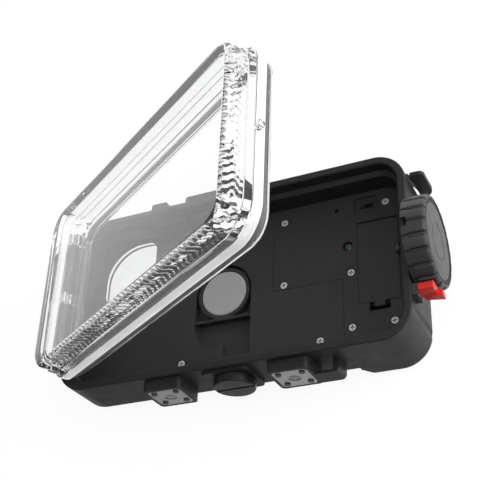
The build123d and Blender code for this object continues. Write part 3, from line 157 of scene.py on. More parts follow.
def bump(tree, height, strength, distance, normal=None):
    """A bump over a height, on an optional normal."""
    node = tree.nodes.new("ShaderNodeBump")
    node.inputs["Strength"].default_value = strength
    node.inputs["Distance"].default_value = distance
    tree.links.new(height, node.inputs["Height"])
    if normal is not None:
        tree.links.new(normal, node.inputs["Normal"])
    return node.outputs["Normal"]


def moulded_plastic(name, colour, rough=0.5, specular=0.4, grain=1500.0, depth=0.25, edge_sheen_and_wear=1.7, edge=0.00035):
    """Moulded plastic with a fine matte grain, faint mottling, and sharp edges painted lighter: a painted
    highlight mixed with rubbed wear.
    """
    mat, tree, shader = new_material(name)
    vector = object_coords(tree)
    rounded, edges = edge_mask(tree, edge)
    darker = tuple(0.9 * c for c in colour)
    # Painted highlight: sharp edges get a lighter colour, broken up by noise like rubbed wear
    lighter = tuple(min(1.0, edge_sheen_and_wear * c + 0.004) for c in colour)
    mottled = mix_colour(tree, remap(tree, noise(tree, vector, 30.0), 0.3, 0.7, 0.0, 1.0), darker, colour)
    sheen_and_wear = tree.nodes.new("ShaderNodeMath")
    sheen_and_wear.operation = "MULTIPLY"
    tree.links.new(edges, sheen_and_wear.inputs[0])
    tree.links.new(remap(tree, noise(tree, vector, 90.0, 5.0), 0.35, 0.65, 0.25, 0.8), sheen_and_wear.inputs[1])
    tree.links.new(mix_colour(tree, sheen_and_wear.outputs["Value"], mottled, lighter), shader.inputs["Base Color"])
    fine = noise(tree, vector, grain, 2.0)
    tree.links.new(
        remap(tree, noise(tree, vector, 160.0, 4.0), 0.3, 0.7, rough - 0.05, rough + 0.06),
        shader.inputs["Roughness"],
    )
    shader.inputs["Specular IOR Level"].default_value = specular
    tree.links.new(bump(tree, fine, depth, 0.00004, rounded), shader.inputs["Normal"])
    return mat


def soft_rubber(name, colour, rough=0.62):
    """Moulded rubber with a dusty bloom."""
    mat, tree, shader = new_material(name)
    vector = object_coords(tree)
    dusty = tuple(min(1.0, 1.12 * c + 0.01) for c in colour)
    bloom = remap(tree, noise(tree, vector, 220.0, 4.0), 0.4, 0.7, 0.0, 0.7)
    tree.links.new(mix_colour(tree, bloom, colour, dusty), shader.inputs["Base Color"])
    tree.links.new(
        remap(tree, noise(tree, vector, 500.0), 0.3, 0.7, rough - 0.06, rough + 0.06),
        shader.inputs["Roughness"],
    )
    shader.inputs["Specular IOR Level"].default_value = 0.35
    tree.links.new(bump(tree, noise(tree, vector, 900.0, 2.0), 0.15, 0.00004), shader.inputs["Normal"])
    return mat


def brushed_metal(name, colour, rough, stretch=EVEN_GRAIN, metallic=1.0, recess=0.0):
    """Brushed metal with fine lines and polished edges; less metallic means plated and dull.

    A recess above zero is how far into a slot or corner the metal gets painted shade, its colour turned near
    black.
    """
    mat, tree, shader = new_material(name)
    vector = object_coords(tree, stretch)
    rounded, edges = edge_mask(tree, 0.0002)
    lines = noise(tree, vector, 6.0, 4.0)
    darker = tuple(0.82 * c for c in colour)
    lighter = tuple(min(1.0, 1.15 * c) for c in colour)
    streaked = mix_colour(tree, remap(tree, lines, 0.3, 0.7, 0.0, 1.0), darker, colour)
    polished = mix_colour(tree, edges, streaked, lighter)
    # Painted shade: ambient occlusion darkens the colour in slots and corners, where shade falls
    if recess > 0.0:
        shade = tree.nodes.new("ShaderNodeAmbientOcclusion")
        shade.samples = 6
        shade.inputs["Distance"].default_value = recess
        open_to_light = remap(tree, shade.outputs["AO"], 0.5, 0.85, 0.0, 1.0)
        polished = mix_colour(tree, open_to_light, (0.01, 0.01, 0.01), polished)
    tree.links.new(polished, shader.inputs["Base Color"])
    shader.inputs["Metallic"].default_value = metallic
    tree.links.new(remap(tree, lines, 0.3, 0.7, rough - 0.06, rough + 0.1), shader.inputs["Roughness"])
    tree.links.new(bump(tree, lines, 0.12, 0.00003, rounded), shader.inputs["Normal"])
    return mat


def clear_polycarbonate(name, tint, ior, haze, coat=0.0, coat_ior=1.5):
    """Clear plastic with a little haze and fine flow marks from the mould; a coat adds plain reflections."""
    mat, tree, shader = new_material(name)
    vector = object_coords(tree)
    shader.inputs["Base Color"].default_value = (*tint, 1.0)
    shader.inputs["Transmission Weight"].default_value = 1.0
    shader.inputs["IOR"].default_value = ior
    shader.inputs["Coat Weight"].default_value = coat
    shader.inputs["Coat IOR"].default_value = coat_ior
    shader.inputs["Coat Roughness"].default_value = 0.02
    tree.links.new(
        remap(tree, noise(tree, vector, 45.0, 4.0), 0.35, 0.75, haze, haze * 3.0), shader.inputs["Roughness"]
    )
    flow = noise(tree, vector, 38.0, 2.0)
    tree.links.new(bump(tree, flow, 0.05, 0.0004), shader.inputs["Normal"])
    return mat


def painted_glow_flange(name, colour, glow):
    """Clear plastic edge with a painted white glow, so it looks milky white from most sides."""
    mat, tree, shader = new_material(name)
    vector = object_coords(tree)
    greyer = tuple(0.8 * c for c in colour)
    bands = noise(tree, vector, 55.0, 3.0)
    tree.links.new(
        mix_colour(tree, remap(tree, bands, 0.35, 0.6, 0.0, 1.0), greyer, colour), shader.inputs["Base Color"]
    )
    shader.inputs["Transmission Weight"].default_value = 0.2
    tree.links.new(remap(tree, noise(tree, vector, 300.0), 0.3, 0.7, 0.12, 0.22), shader.inputs["Roughness"])
    # Painted light: the flange glows white though nothing lights it
    shader.inputs["Emission Color"].default_value = (1.0, 1.0, 1.0, 1.0)
    shader.inputs["Emission Strength"].default_value = glow
    return mat


def milky_lens(name, colour):
    """Milky lens of a small indicator light."""
    mat, tree, shader = new_material(name)
    vector = object_coords(tree)
    centre = remap(tree, noise(tree, vector, 400.0), 0.3, 0.7, 0.0, 0.06)
    tree.links.new(mix_colour(tree, centre, colour, (0.85, 0.9, 0.95)), shader.inputs["Base Color"])
    tree.links.new(remap(tree, noise(tree, vector, 800.0), 0.3, 0.7, 0.12, 0.25), shader.inputs["Roughness"])
    shader.inputs["Transmission Weight"].default_value = 0.25
    shader.inputs["Coat Weight"].default_value = 0.4
    return mat


def circuit_laminate(name, mask_colour, copper_colour):
    """Green laminate with fine copper tracks under its coating."""
    mat, tree, shader = new_material(name)
    vector = object_coords(tree)
    brick = tree.nodes.new("ShaderNodeTexBrick")
    brick.inputs["Scale"].default_value = 220.0
    brick.inputs["Mortar Size"].default_value = 0.04
    tree.links.new(vector, brick.inputs["Vector"])
    tracks = remap(tree, brick.outputs["Fac"], 0.0, 1.0, 0.0, 0.35)
    tree.links.new(mix_colour(tree, tracks, mask_colour, copper_colour), shader.inputs["Base Color"])
    tree.links.new(remap(tree, noise(tree, vector, 90.0), 0.3, 0.7, 0.3, 0.42), shader.inputs["Roughness"])
    tree.links.new(bump(tree, brick.outputs["Fac"], 0.2, 0.00005), shader.inputs["Normal"])
    return mat


def pale_floor(name, colour, glow):
    """Seamless pale studio floor that keeps its own brightness, so shadows on it stay faint."""
    mat, tree, shader = new_material(name)
    vector = object_coords(tree)
    lighter = tuple(min(1.0, 1.02 * c) for c in colour)
    tree.links.new(
        mix_colour(tree, remap(tree, noise(tree, vector, 3.0), 0.3, 0.7, 0.0, 1.0), colour, lighter),
        shader.inputs["Base Color"],
    )
    shader.inputs["Roughness"].default_value = 0.85
    shader.inputs["Specular IOR Level"].default_value = 0.1
    shader.inputs["Emission Color"].default_value = (1.0, 1.0, 1.0, 1.0)
    shader.inputs["Emission Strength"].default_value = glow
    return mat


# Small helpers for meshes

def finish_piece(name, mesh, body, material, replaces):
    """Puts a mesh in the scene as a piece that rides on a body; a tuple of materials goes by face index."""
    obj = bpy.data.objects.new(name, mesh)
    bpy.context.scene.collection.objects.link(obj)
    if not isinstance(material, tuple):
        mesh.materials.clear()
        material = (material,)
        for poly in mesh.polygons:
            poly.material_index = 0
    while len(mesh.materials) < len(material):
        mesh.materials.append(None)
    for k, entry in enumerate(material):
        mesh.materials[k] = entry
    for poly in mesh.polygons:
        poly.use_smooth = True
    bm = bmesh.new()
    bm.from_mesh(mesh)
    for e in bm.edges:
        if len(e.link_faces) == 2 and e.calc_face_angle(0.0) > SHARP_LIMIT:
            e.smooth = False
    bm.to_mesh(mesh)
    bm.free()
    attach(obj, body)
    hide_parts(*replaces)


def loft_mesh(name, rings, closed=False):
    """A closed mesh through rings of equal count, with its two ends filled unless it is a closed band."""
    bm = bmesh.new()
    made = [[bm.verts.new(Vector(p) * MM) for p in ring] for ring in rings]
    count = len(made[0])
    pairs = list(zip(made, made[1:]))
    if closed:
        pairs.append((made[-1], made[0]))
    for low, high in pairs:
        for i in range(count):
            j = (i + 1) % count
            bm.faces.new((low[i], low[j], high[j], high[i]))
    if not closed:
        bm.faces.new(list(reversed(made[0])))
        bm.faces.new(made[-1])
    bmesh.ops.recalc_face_normals(bm, faces=bm.faces)
    mesh = bpy.data.meshes.new(name)
    bm.to_mesh(mesh)
    bm.free()
    return mesh


def cover_outline(x_low, x_high, half_y, radius, corner_steps, long_steps, short_steps):
    """Points, outward directions and the side each is on, round a rounded rectangle."""
    points = []
    corners = (
        (x_high - radius, half_y - radius, 0.0), (x_low + radius, half_y - radius, 90.0),
        (x_low + radius, -half_y + radius, 180.0), (x_high - radius, -half_y + radius, 270.0),
    )
    sides = (("far", long_steps), ("hinge", short_steps), ("near", long_steps), ("free", short_steps))
    for k, (cx, cy, start) in enumerate(corners):
        for step in range(corner_steps + 1):
            a = math.radians(start + 90.0 * step / corner_steps)
            out = (math.cos(a), math.sin(a))
            points.append((cx + radius * out[0], cy + radius * out[1], out, "corner", step / corner_steps))
        side, count = sides[k]
        nx, ny, turn = corners[(k + 1) % 4]
        a = math.radians(start + 90.0)
        out = (math.cos(a), math.sin(a))
        first = (cx + radius * out[0], cy + radius * out[1])
        last = (nx + radius * out[0], ny + radius * out[1])
        for step in range(1, count):
            t = step / count
            points.append((
                first[0] + (last[0] - first[0]) * t, first[1] + (last[1] - first[1]) * t, out, side,
                math.dist(first, last) * t,
            ))
    return points


def open_cover(point):
    """A point given as if the cover were closed, moved to where it is with the cover open."""
    u, y, w = point[0] - HINGE.x, point[1], point[2] - HINGE.z
    c, s = math.cos(OPEN_ANGLE), math.sin(OPEN_ANGLE)
    return (HINGE.x + u * c - w * s, y, HINGE.z + u * s + w * c)


def turned_rings(profile, axis_y, axis_z, steps):
    """Rings round an axis along X, from pairs of place along the axis and radius."""
    rings = []
    for x, radius in profile:
        ring = []
        for i in range(steps):
            a = 2.0 * math.pi * i / steps
            ring.append((x, axis_y + radius * math.cos(a), axis_z + radius * math.sin(a)))
        rings.append(ring)
    return rings


def boolean(obj, cutter_mesh, operation):
    """Adds or cuts a mesh and applies the change."""
    cutter = bpy.data.objects.new("cutter", cutter_mesh)
    bpy.context.scene.collection.objects.link(cutter)
    mod = obj.modifiers.new("shape", "BOOLEAN")
    mod.operation = operation
    mod.solver = "EXACT"
    mod.object = cutter
    depsgraph = bpy.context.evaluated_depsgraph_get()
    depsgraph.update()
    result = bpy.data.meshes.new_from_object(obj.evaluated_get(depsgraph))
    obj.modifiers.clear()
    old = obj.data
    obj.data = result
    bpy.data.meshes.remove(old)
    bpy.data.objects.remove(cutter)
    bpy.data.meshes.remove(cutter_mesh)


def across_hinge(radius, y_low, y_high, steps=48):
    """A cylinder along Y round the hinge line."""
    rings = []
    for y in (y_low, y_high):
        ring = []
        for i in range(steps):
            a = 2.0 * math.pi * i / steps
            ring.append((HINGE.x + radius * math.cos(a), y, HINGE.z + radius * math.sin(a)))
        rings.append(ring)
    return loft_mesh("round", rings)


class CaseSettings(bpy.types.PropertyGroup):
    """Colours and sizes of the case that a user may change."""

    shell_colour: bpy.props.FloatVectorProperty(
        name="Shell colour", description="Black moulded shell", subtype="COLOR",
        default=(0.02, 0.0202, 0.0208),
    )
    inner_colour: bpy.props.FloatVectorProperty(
        name="Inner colour", description="Black plates inside the shell", subtype="COLOR",
        default=(0.034, 0.034, 0.0345),
    )
    knob_colour: bpy.props.FloatVectorProperty(
        name="Knob colour", description="Grip of the latch knob", subtype="COLOR",
        default=(0.042, 0.043, 0.044),
    )
    face_colour: bpy.props.FloatVectorProperty(
        name="Knob face colour", description="Disc on the knob's front", subtype="COLOR",
        default=(0.07, 0.07, 0.072),
    )
    lock_colour: bpy.props.FloatVectorProperty(
        name="Lock colour", description="Red safety catch", subtype="COLOR", default=(0.86, 0.026, 0.022)
    )
    capsule_colour: bpy.props.FloatVectorProperty(
        name="Capsule colour", description="Drying capsule", subtype="COLOR", default=(0.46, 0.46, 0.46)
    )
    seal_colour: bpy.props.FloatVectorProperty(
        name="Cover seal colour", description="Seal round the cover", subtype="COLOR", default=(0.2, 0.2, 0.2)
    )
    clear_tint: bpy.props.FloatVectorProperty(
        name="Cover tint", description="Clear cover plastic", subtype="COLOR", default=(0.985, 0.99, 0.992)
    )
    clear_ior: bpy.props.FloatProperty(
        name="Cover index", description="How strongly the cover's walls bend light",
        default=1.47, min=1.3, max=1.8,
    )
    pane_coat: bpy.props.FloatProperty(
        name="Pane gloss", description="Index of the pane's polished surface", default=1.65, min=1.0, max=2.0
    )
    hinge_wall: bpy.props.FloatProperty(
        name="Hinge wall", description="Extra millimetres of the cover's wall at its hinge",
        default=6.5, min=0.0,
    )
    # How strongly the flange's painted glow shines
    flange_glow: bpy.props.FloatProperty(
        name="Flange glow", description="Light that comes out of the cover's flange",
        default=0.35, min=0.0, max=1.0,
    )
    knob_ribs: bpy.props.IntProperty(
        name="Knob ribs", description="Ribs round the latch knob", default=20, min=12, max=48
    )


class StageSettings(bpy.types.PropertyGroup):
    """Camera, floor and lights."""

    lens: bpy.props.FloatProperty(
        name="Lens", description="Focal length", default=75.63, min=20.0, max=200.0, unit="CAMERA"
    )
    floor_size: bpy.props.FloatProperty(
        name="Floor size", description="Side of the floor", default=8.0, min=2.0, unit="LENGTH"
    )
    floor_glow: bpy.props.FloatProperty(
        name="Floor glow", description="The floor's own brightness", default=0.92, min=0.0, max=2.0
    )
    sky: bpy.props.FloatProperty(
        name="Room light", description="Strength of the light from the bright side",
        default=1.1, min=0.0, max=4.0,
    )
    dim_side: bpy.props.FloatProperty(
        name="Dim side", description="Strength of the light from overhead and the near side",
        default=0.25, min=0.0,
    )
    key_power: bpy.props.FloatProperty(
        name="Key light", description="Power of the large soft light", default=6.0, min=0.0, unit="POWER"
    )


def dress(node, material):
    """Gives a frame node its finished material."""
    mesh = NODES[node].data
    mesh.materials.clear()
    mesh.materials.append(material)


class BuildShell(bpy.types.Operator):
    """Finish the black shell, its inner plates and the parts below them"""

    bl_idname = "phone_case.build_shell"
    bl_label = "Shell and inner plates"

    def execute(self, context):
        case = context.scene.case_settings
        shell = moulded_plastic("shell moulding", tuple(case.shell_colour))
        inner = moulded_plastic("inner moulding", tuple(case.inner_colour), rough=0.55, specular=0.4)
        dress("front_shell", shell)
        for node in (
            "inner_chassis", "electronics_cover", "capsule_retainer", "battery_tray", "battery_door",
            "window_retainer",
        ):
            dress(node, inner)
        part = moulded_plastic("small black parts", (0.014, 0.014, 0.015), rough=0.4)
        for node in ("reset_switch", "shutter_switch", "power_switch", "power_slider", "vacuum_plug"):
            dress(node, part)
        seal = soft_rubber("black seal rubber", (0.02, 0.02, 0.021))
        for node in ("window_gasket", "plug_seal", "shaft_seal", "plunger_seal"):
            dress(node, seal)
        dress("circuit_board", circuit_laminate("board laminate", (0.015, 0.1, 0.04), (0.5, 0.25, 0.1)))
        dress("status_led", milky_lens("indicator lens", (0.05, 0.075, 0.08)))
        capsule = moulded_plastic("capsule", tuple(case.capsule_colour), rough=0.6, edge_sheen_and_wear=1.1)
        dress("desiccant_capsule", capsule)
        wrap = moulded_plastic("cell wrap", (0.05, 0.055, 0.06), rough=0.3)
        for node in ("battery_cell_left", "battery_cell_right"):
            dress(node, wrap)
        dress("camera_window", clear_polycarbonate("port glass", (0.985, 0.992, 0.99), 1.5, 0.004))
        return {"FINISHED"}


class BuildFittings(bpy.types.Operator):
    """Finish the steel plates, inserts, screws, pins and springs"""

    bl_idname = "phone_case.build_fittings"
    bl_label = "Metal fittings"

    def execute(self, context):
        plate = brushed_metal("plate steel", (0.5, 0.5, 0.5), rough=0.3, stretch=GRAIN_ALONG_X)
        insert = brushed_metal(
            "insert steel", (1.0, 1.0, 1.0), rough=0.15, stretch=GRAIN_ALONG_Y, metallic=0.1
        )
        plain = brushed_metal("plain steel", (0.85, 0.85, 0.86), rough=0.3, metallic=0.45)
        dark = brushed_metal("blackened steel", (0.08, 0.08, 0.085), rough=0.35)
        for side in ("left", "right"):
            dress("mount_plate_" + side, plate)
            dress("thread_insert_" + side, insert)
        for node in (
            "battery_contacts", "hinge_pin", "lock_spring", "lever_pin", "shutter_plunger", "plunger_spring",
        ):
            dress(node, plain)
        # The screws get painted shade in their cross slots
        screw = brushed_metal("screw steel", (0.9, 0.9, 0.9), rough=0.25, metallic=0.3, recess=0.001)
        dress("chassis_screws", screw)
        for node in ("mount_screws", "knob_shaft", "shaft_clip"):
            dress(node, dark)
        return {"FINISHED"}


class BuildCover(bpy.types.Operator):
    """Mould the clear cover as one thick piece, with its tongue, seal groove and hinge arms"""

    bl_idname = "phone_case.build_cover"
    bl_label = "Clear cover and seal"
    # Steps round each corner and along the long and short sides
    CORNER = 24
    LONG = 192
    SHORT = 84
    # The flange shows white from the first of these faces on, and up to the second
    NEAR_FROM = 2 * CORNER + LONG + SHORT + CORNER // 2
    FREE_TO = CORNER // 2
    FLANGE_BANDS = 4
    # Low x, high x, half width and corner radius of the wall above the flange, and of the flange
    WALL = (-96.5, 99.2, 50.7, 15.4)
    RIM = (-99.5, 99.5, 52.5, 16.5)
    # Ribs inside the near side and the free end: levels, their middle, pitch, height and slant
    RIB_TOP = 44.3
    RIB_STEP = 0.9
    RIB_LEVELS = 17
    RIB_MIDDLE = 40.5
    RIB_PITCH = 3.9
    RIB_HEIGHT = 0.3
    RIB_SLANT = 1.1
    # Room for the shell's knuckles, the cover's own arms between them, and the pin's bore
    KNUCKLES = ((3.0, 34.7), (-34.7, -3.0))
    KNUCKLE_ROOM = 3.8
    ARMS = ((-3.0, 3.0), (34.7, 40.7), (-40.7, -34.7))
    ARM_RADIUS = 3.3
    ARM_REACH = 5.0
    PIN_BORE = 1.56
    # The peg that the latch catches: place along it and radius, and its level
    PEG = ((98.9, 2.1), (101.8, 2.1), (102.1, 1.8))
    PEG_LEVEL = 33.0

    def execute(self, context):
        case = context.scene.case_settings
        clear = clear_polycarbonate("clear cover plastic", tuple(case.clear_tint), case.clear_ior, 0.004)
        pane = clear_polycarbonate("clear pane", tuple(case.clear_tint), 1.01, 0.0, 1.0, case.pane_coat)
        edge = painted_glow_flange("cover flange", (0.92, 0.93, 0.935), case.flange_glow)

        def wall(inset, level):
            return self.ring(self.WALL, inset, level)

        def rim(inset, level, hinge=0.0, ribbed=False):
            return self.ring(self.RIM, inset, level, hinge, ribbed)

        thick = case.hinge_wall
        rings = [rim(10.4, 45.3, thick), rim(9.3, 45.3, thick), rim(8.6, 45.1, thick), rim(8.3, 44.8, thick)]
        rings += [rim(8.2, self.RIB_TOP - self.RIB_STEP * k, thick, True) for k in range(self.RIB_LEVELS)]
        inner = [
            (8.2, 29.3), (8.2, 23.9), (8.3, 23.6), (8.6, 23.5), (5.0, 23.5), (4.7, 23.6), (4.6, 23.9),
            (4.6, 24.7), (6.6, 24.7), (6.6, 27.7), (4.6, 27.7), (4.6, 29.3),
        ]
        rings += [rim(*p) for p in inner]
        flange_low = len(rings)
        outer = [
            (0.4, 29.3), (0.1, 29.4), (0.0, 29.7), (0.0, 33.7), (0.1, 34.0), (0.4, 34.1), (1.3, 34.1),
            (1.3, 37.3), (1.4, 37.6), (1.7, 37.7), (2.5, 37.7), (2.5, 44.8), (2.62, 45.6), (2.98, 46.4),
            (3.55, 47.04), (4.3, 47.5), (5.15, 47.68),
        ]
        rings += [wall(*p) for p in outer]
        rings.append(self.ring(self.WALL, 5.6, 47.7, thick + 0.5))
        mesh = loft_mesh("cover_body", rings)
        count = len(rings[0])
        for k, poly in enumerate(mesh.polygons):
            if poly.loop_total > 4:
                poly.material_index = 1
            elif flange_low <= k // count < flange_low + self.FLANGE_BANDS:
                here = k % count
                poly.material_index = 2 if here > self.NEAR_FROM or here < self.FREE_TO else 0
        for material in (clear, pane, edge):
            mesh.materials.append(material)
        cover = bpy.data.objects.new("cover_body", mesh)
        bpy.context.scene.collection.objects.link(cover)
        for low, high in self.KNUCKLES:
            cut = across_hinge(self.KNUCKLE_ROOM, low, high)
            for poly in cut.polygons:
                poly.material_index = 1
            for material in (clear, pane):
                cut.materials.append(material)
            boolean(cover, cut, "DIFFERENCE")
        for low, high in self.ARMS:
            boolean(cover, self.hinge_arm(low, high), "UNION")
            boolean(cover, across_hinge(self.PIN_BORE, low - 1.0, high + 1.0), "DIFFERENCE")
        peg = turned_rings(self.PEG, 0.0, self.PEG_LEVEL, 32)
        boolean(cover, loft_mesh("peg", [[open_cover(p) for p in ring] for ring in peg]), "UNION")
        mesh = cover.data
        bpy.data.objects.remove(cover)
        finish_piece("cover_body", mesh, "cover", (clear, pane, edge), ("clear_cover",))

        seal = soft_rubber("cover seal rubber", tuple(case.seal_colour))
        section = [
            (4.45, 26.2), (4.53, 25.55), (4.8, 25.05), (5.3, 24.8), (6.52, 24.78), (6.52, 27.62), (5.3, 27.6),
            (4.8, 27.35), (4.53, 26.85),
        ]
        band = loft_mesh("cover_seal_ring", [rim(*p) for p in section], closed=True)
        finish_piece("cover_seal_ring", band, "cover", seal, ("cover_seal",))
        return {"FINISHED"}

    @staticmethod
    def ring(base, inset, level, hinge=0.0, ribbed=False):
        """One ring of the cover, opened; a ribbed one waves on the near side, free end and corners."""
        x_low, x_high, half_y, radius = base
        outline = cover_outline(
            x_low + inset + hinge, x_high - inset, half_y - inset, radius - inset,
            BuildCover.CORNER, BuildCover.LONG, BuildCover.SHORT,
        )
        ring = []
        for x, y, out, side, along in outline:
            move = 0.0
            if ribbed and side in ("near", "free"):
                slant = BuildCover.RIB_SLANT * abs(level - BuildCover.RIB_MIDDLE)
                fade = max(0.0, min(1.0, (44.6 - level) / 1.0, (level - 36.0) / 1.5))
                wave = math.sin(2.0 * math.pi * (along + slant) / BuildCover.RIB_PITCH)
                move = fade * BuildCover.RIB_HEIGHT * wave
                move += fade * 0.12 * math.sin(1.9 * along + 2.3 * level)
            elif ribbed and side == "corner":
                fade = math.sin(math.pi * along)
                move = fade * (
                    0.9 * math.sin(13.0 * along + 0.55 * level) + 0.5 * math.sin(23.0 * along - 0.8 * level)
                )
            ring.append(open_cover((x - out[0] * move, y - out[1] * move, level)))
        return ring

    @staticmethod
    def hinge_arm(low, high):
        """One of the cover's hinge arms: a round eye that runs into the end wall."""
        r = BuildCover.ARM_RADIUS
        rings = []
        for y in (low, high):
            ring = []
            for i in range(33):
                a = math.radians(90.0 + 180.0 * i / 32)
                ring.append((HINGE.x + r * math.cos(a), y, HINGE.z + r * math.sin(a)))
            ring.append((HINGE.x + BuildCover.ARM_REACH, y, HINGE.z - r))
            ring.append((HINGE.x + BuildCover.ARM_REACH, y, HINGE.z + r))
            rings.append([open_cover(p) for p in ring])
        return loft_mesh("arm", rings)


class BuildKnob(bpy.types.Operator):
    """Model the ribbed latch knob with its face disc, and finish the cam behind it"""

    bl_idname = "phone_case.build_knob"
    bl_label = "Latch knob"
    # Points round each rib, and the depth and half width of the groove between two ribs
    PER_RIB = 16
    GROOVE_DEPTH = 1.3
    GROOVE_HALF = 2.2
    # The first span of the profile that belongs to the rough front ring
    FRONT_FROM = 6

    def execute(self, context):
        case = context.scene.case_settings
        black = moulded_plastic("knob moulding", tuple(case.knob_colour), rough=0.42, specular=0.5)
        grey = moulded_plastic("knob face moulding", tuple(case.face_colour), rough=0.45, edge_sheen_and_wear=1.2)
        count = case.knob_ribs * self.PER_RIB
        # place along the axis, radius and how much of the grooves shows
        profile = [
            (103.1, 24.2, 1.0), (110.2, 24.2, 1.0), (110.9, 24.1, 1.0), (111.5, 23.75, 0.95),
            (112.0, 23.2, 0.8), (112.25, 22.7, 0.5), (112.3, 22.2, 0.15), (112.2, 21.9, 0.0),
            (111.9, 21.75, 0.0), (111.85, 21.4, 0.0), (111.9, 20.5, 0.0), (112.1, 20.2, 0.0),
            (112.05, 19.95, 0.0), (111.1, 19.9, 0.0), (111.05, 19.0, 0.0),
        ]
        rings = []
        for x, radius, cut in profile:
            ring = []
            knurled = 21.0 < radius < 21.6 or 20.3 < radius < 20.7
            for i in range(count):
                away = min(i % self.PER_RIB, self.PER_RIB - i % self.PER_RIB)
                depth = self.GROOVE_DEPTH * cut * max(0.0, 1.0 - (away / self.GROOVE_HALF) ** 4)
                lift = 0.12 * math.sin(2.9 * i) if knurled else 0.0
                a = 2.0 * math.pi * i / count
                r = radius - depth
                ring.append((x + lift, r * math.cos(a), KNOB_LEVEL + r * math.sin(a)))
            rings.append(ring)
        grip = loft_mesh("knob_grip", rings)
        for k, poly in enumerate(grip.polygons):
            poly.material_index = 1 if poly.loop_total == 4 and k // count >= self.FRONT_FROM else 0
        # The rough ring's edges are painted three times lighter: painted glints on its bumps
        rough_ring = moulded_plastic(
            "knob ring moulding", (0.016, 0.016, 0.017), rough=0.5, grain=900.0, depth=1.0, edge_sheen_and_wear=3.0,
            edge=0.0002,
        )
        finish_piece("knob_grip", grip, "knob", (black, rough_ring), ("knob",))
        face = [
            (111.1, 19.0), (111.1, 19.5), (111.8, 19.75), (111.95, 19.6), (112.0, 19.3), (112.0, 10.1),
            (111.75, 9.95), (111.75, 9.35), (112.0, 9.2), (112.0, 4.0),
        ]
        rings = turned_rings(face, 0.0, KNOB_LEVEL, 96)
        finish_piece("knob_disc", loft_mesh("knob_disc", rings), "knob", grey, ("knob_face",))
        dress("latch_cam", black)
        dress("lock_housing", black)
        return {"FINISHED"}


class BuildLock(bpy.types.Operator):
    """Finish the red safety catch and the shutter lever"""

    bl_idname = "phone_case.build_lock"
    bl_label = "Lock and lever"

    def execute(self, context):
        case = context.scene.case_settings
        red = moulded_plastic(
            "lock moulding", tuple(case.lock_colour), rough=0.35, specular=0.5, edge_sheen_and_wear=1.1, depth=0.12
        )
        dress("lock_lever", red)
        dress("shutter_lever", moulded_plastic("lever moulding", (0.016, 0.016, 0.017), rough=0.45))
        return {"FINISHED"}


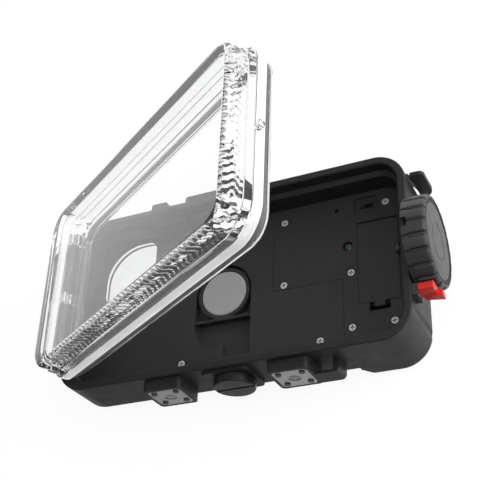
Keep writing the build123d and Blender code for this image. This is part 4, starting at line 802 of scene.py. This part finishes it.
class BuildStage(bpy.types.Operator):
    """Set the camera, the pale floor and the soft studio light"""

    bl_idname = "phone_case.build_stage"
    bl_label = "Stage"

    def execute(self, context):
        stage = context.scene.stage_settings
        scene = context.scene
        camera = bpy.data.objects.new("camera", bpy.data.cameras.new("camera"))
        scene.collection.objects.link(camera)
        camera.data.lens = stage.lens
        camera.data.sensor_width = 36.0
        camera.data.clip_start = 0.01
        camera.data.clip_end = 100.0
        turn = Matrix((CAMERA_RIGHT, -CAMERA_DOWN, -CAMERA_AHEAD)).transposed().to_4x4()
        camera.matrix_world = Matrix.Translation(CAMERA_PLACE) @ turn
        scene.camera = camera

        bm = bmesh.new()
        bmesh.ops.create_grid(bm, x_segments=8, y_segments=8, size=stage.floor_size / 2.0)
        bmesh.ops.translate(bm, verts=bm.verts, vec=(0.0, 0.0, CAD_BOX[0][2] - 0.0002))
        mesh = bpy.data.meshes.new("studio_floor")
        bm.to_mesh(mesh)
        bm.free()
        floor = bpy.data.objects.new("studio_floor", mesh)
        mesh.materials.append(pale_floor("studio floor", (0.14, 0.14, 0.14), stage.floor_glow))
        scene.collection.objects.link(floor)
        floor.visible_diffuse = False
        floor.visible_glossy = False

        self.light_room(scene, stage)
        lamps = (
            ("key light", (1.1, 0.05, 0.55), 0.7, stage.key_power),
            ("top light", (0.35, -0.2, 1.2), 0.8, stage.key_power * 0.5),
        )
        for name, place, size, power in lamps:
            lamp = bpy.data.objects.new(name, bpy.data.lights.new(name, "AREA"))
            lamp.data.size = size
            lamp.data.energy = power
            lamp.location = place
            towards = Vector((0.0, 0.0, 0.02)) - Vector(place)
            lamp.rotation_euler = towards.to_track_quat("-Z", "Y").to_euler()
            scene.collection.objects.link(lamp)
        scene.view_settings.view_transform = "Standard"
        return {"FINISHED"}

    @staticmethod
    def light_room(scene, stage):
        """A white room, dimmer overhead and on the near side, so the black plastic stays dark."""
        world = bpy.data.worlds.new("studio")
        world.use_nodes = True
        tree = world.node_tree
        coords = tree.nodes.new("ShaderNodeTexCoord")
        side = tree.nodes.new("ShaderNodeVectorMath")
        side.operation = "DOT_PRODUCT"
        side.inputs[1].default_value = BRIGHT_SIDE
        tree.links.new(coords.outputs["Generated"], side.inputs[0])
        strength = remap(tree, side.outputs["Value"], 0.0, 0.3, stage.dim_side, stage.sky)
        background = tree.nodes["Background"]
        background.inputs["Color"].default_value = (1.0, 1.0, 1.0, 1.0)
        tree.links.new(strength, background.inputs["Strength"])
        scene.world = world


class CasePanel(bpy.types.Panel):
    """Buttons and settings for the phone case"""

    bl_idname = "VIEW3D_PT_phone_case"
    bl_label = "Phone Case"
    bl_space_type = "VIEW_3D"
    bl_region_type = "UI"
    bl_category = "Phone Case"

    def draw(self, context):
        for operator in OPERATORS:
            self.layout.operator(operator.bl_idname)
        for group in (context.scene.case_settings, context.scene.stage_settings):
            for name in group.bl_rna.properties.keys():
                if name not in ("rna_type", "name"):
                    self.layout.prop(group, name)


OPERATORS = (BuildShell, BuildFittings, BuildCover, BuildKnob, BuildLock, BuildStage)


def register():
    for cls in (CaseSettings, StageSettings, *OPERATORS, CasePanel):
        bpy.utils.register_class(cls)
    bpy.types.Scene.case_settings = bpy.props.PointerProperty(type=CaseSettings)
    bpy.types.Scene.stage_settings = bpy.props.PointerProperty(type=StageSettings)


def unregister():
    del bpy.types.Scene.stage_settings
    del bpy.types.Scene.case_settings
    for cls in reversed((CaseSettings, StageSettings, *OPERATORS, CasePanel)):
        bpy.utils.unregister_class(cls)


def main():
    """Builds every piece in order."""
    register()
    bpy.ops.phone_case.build_stage()
    bpy.ops.phone_case.build_shell()
    bpy.ops.phone_case.build_fittings()
    bpy.ops.phone_case.build_cover()
    bpy.ops.phone_case.build_knob()
    bpy.ops.phone_case.build_lock()


if __name__ == "__main__":
    main()
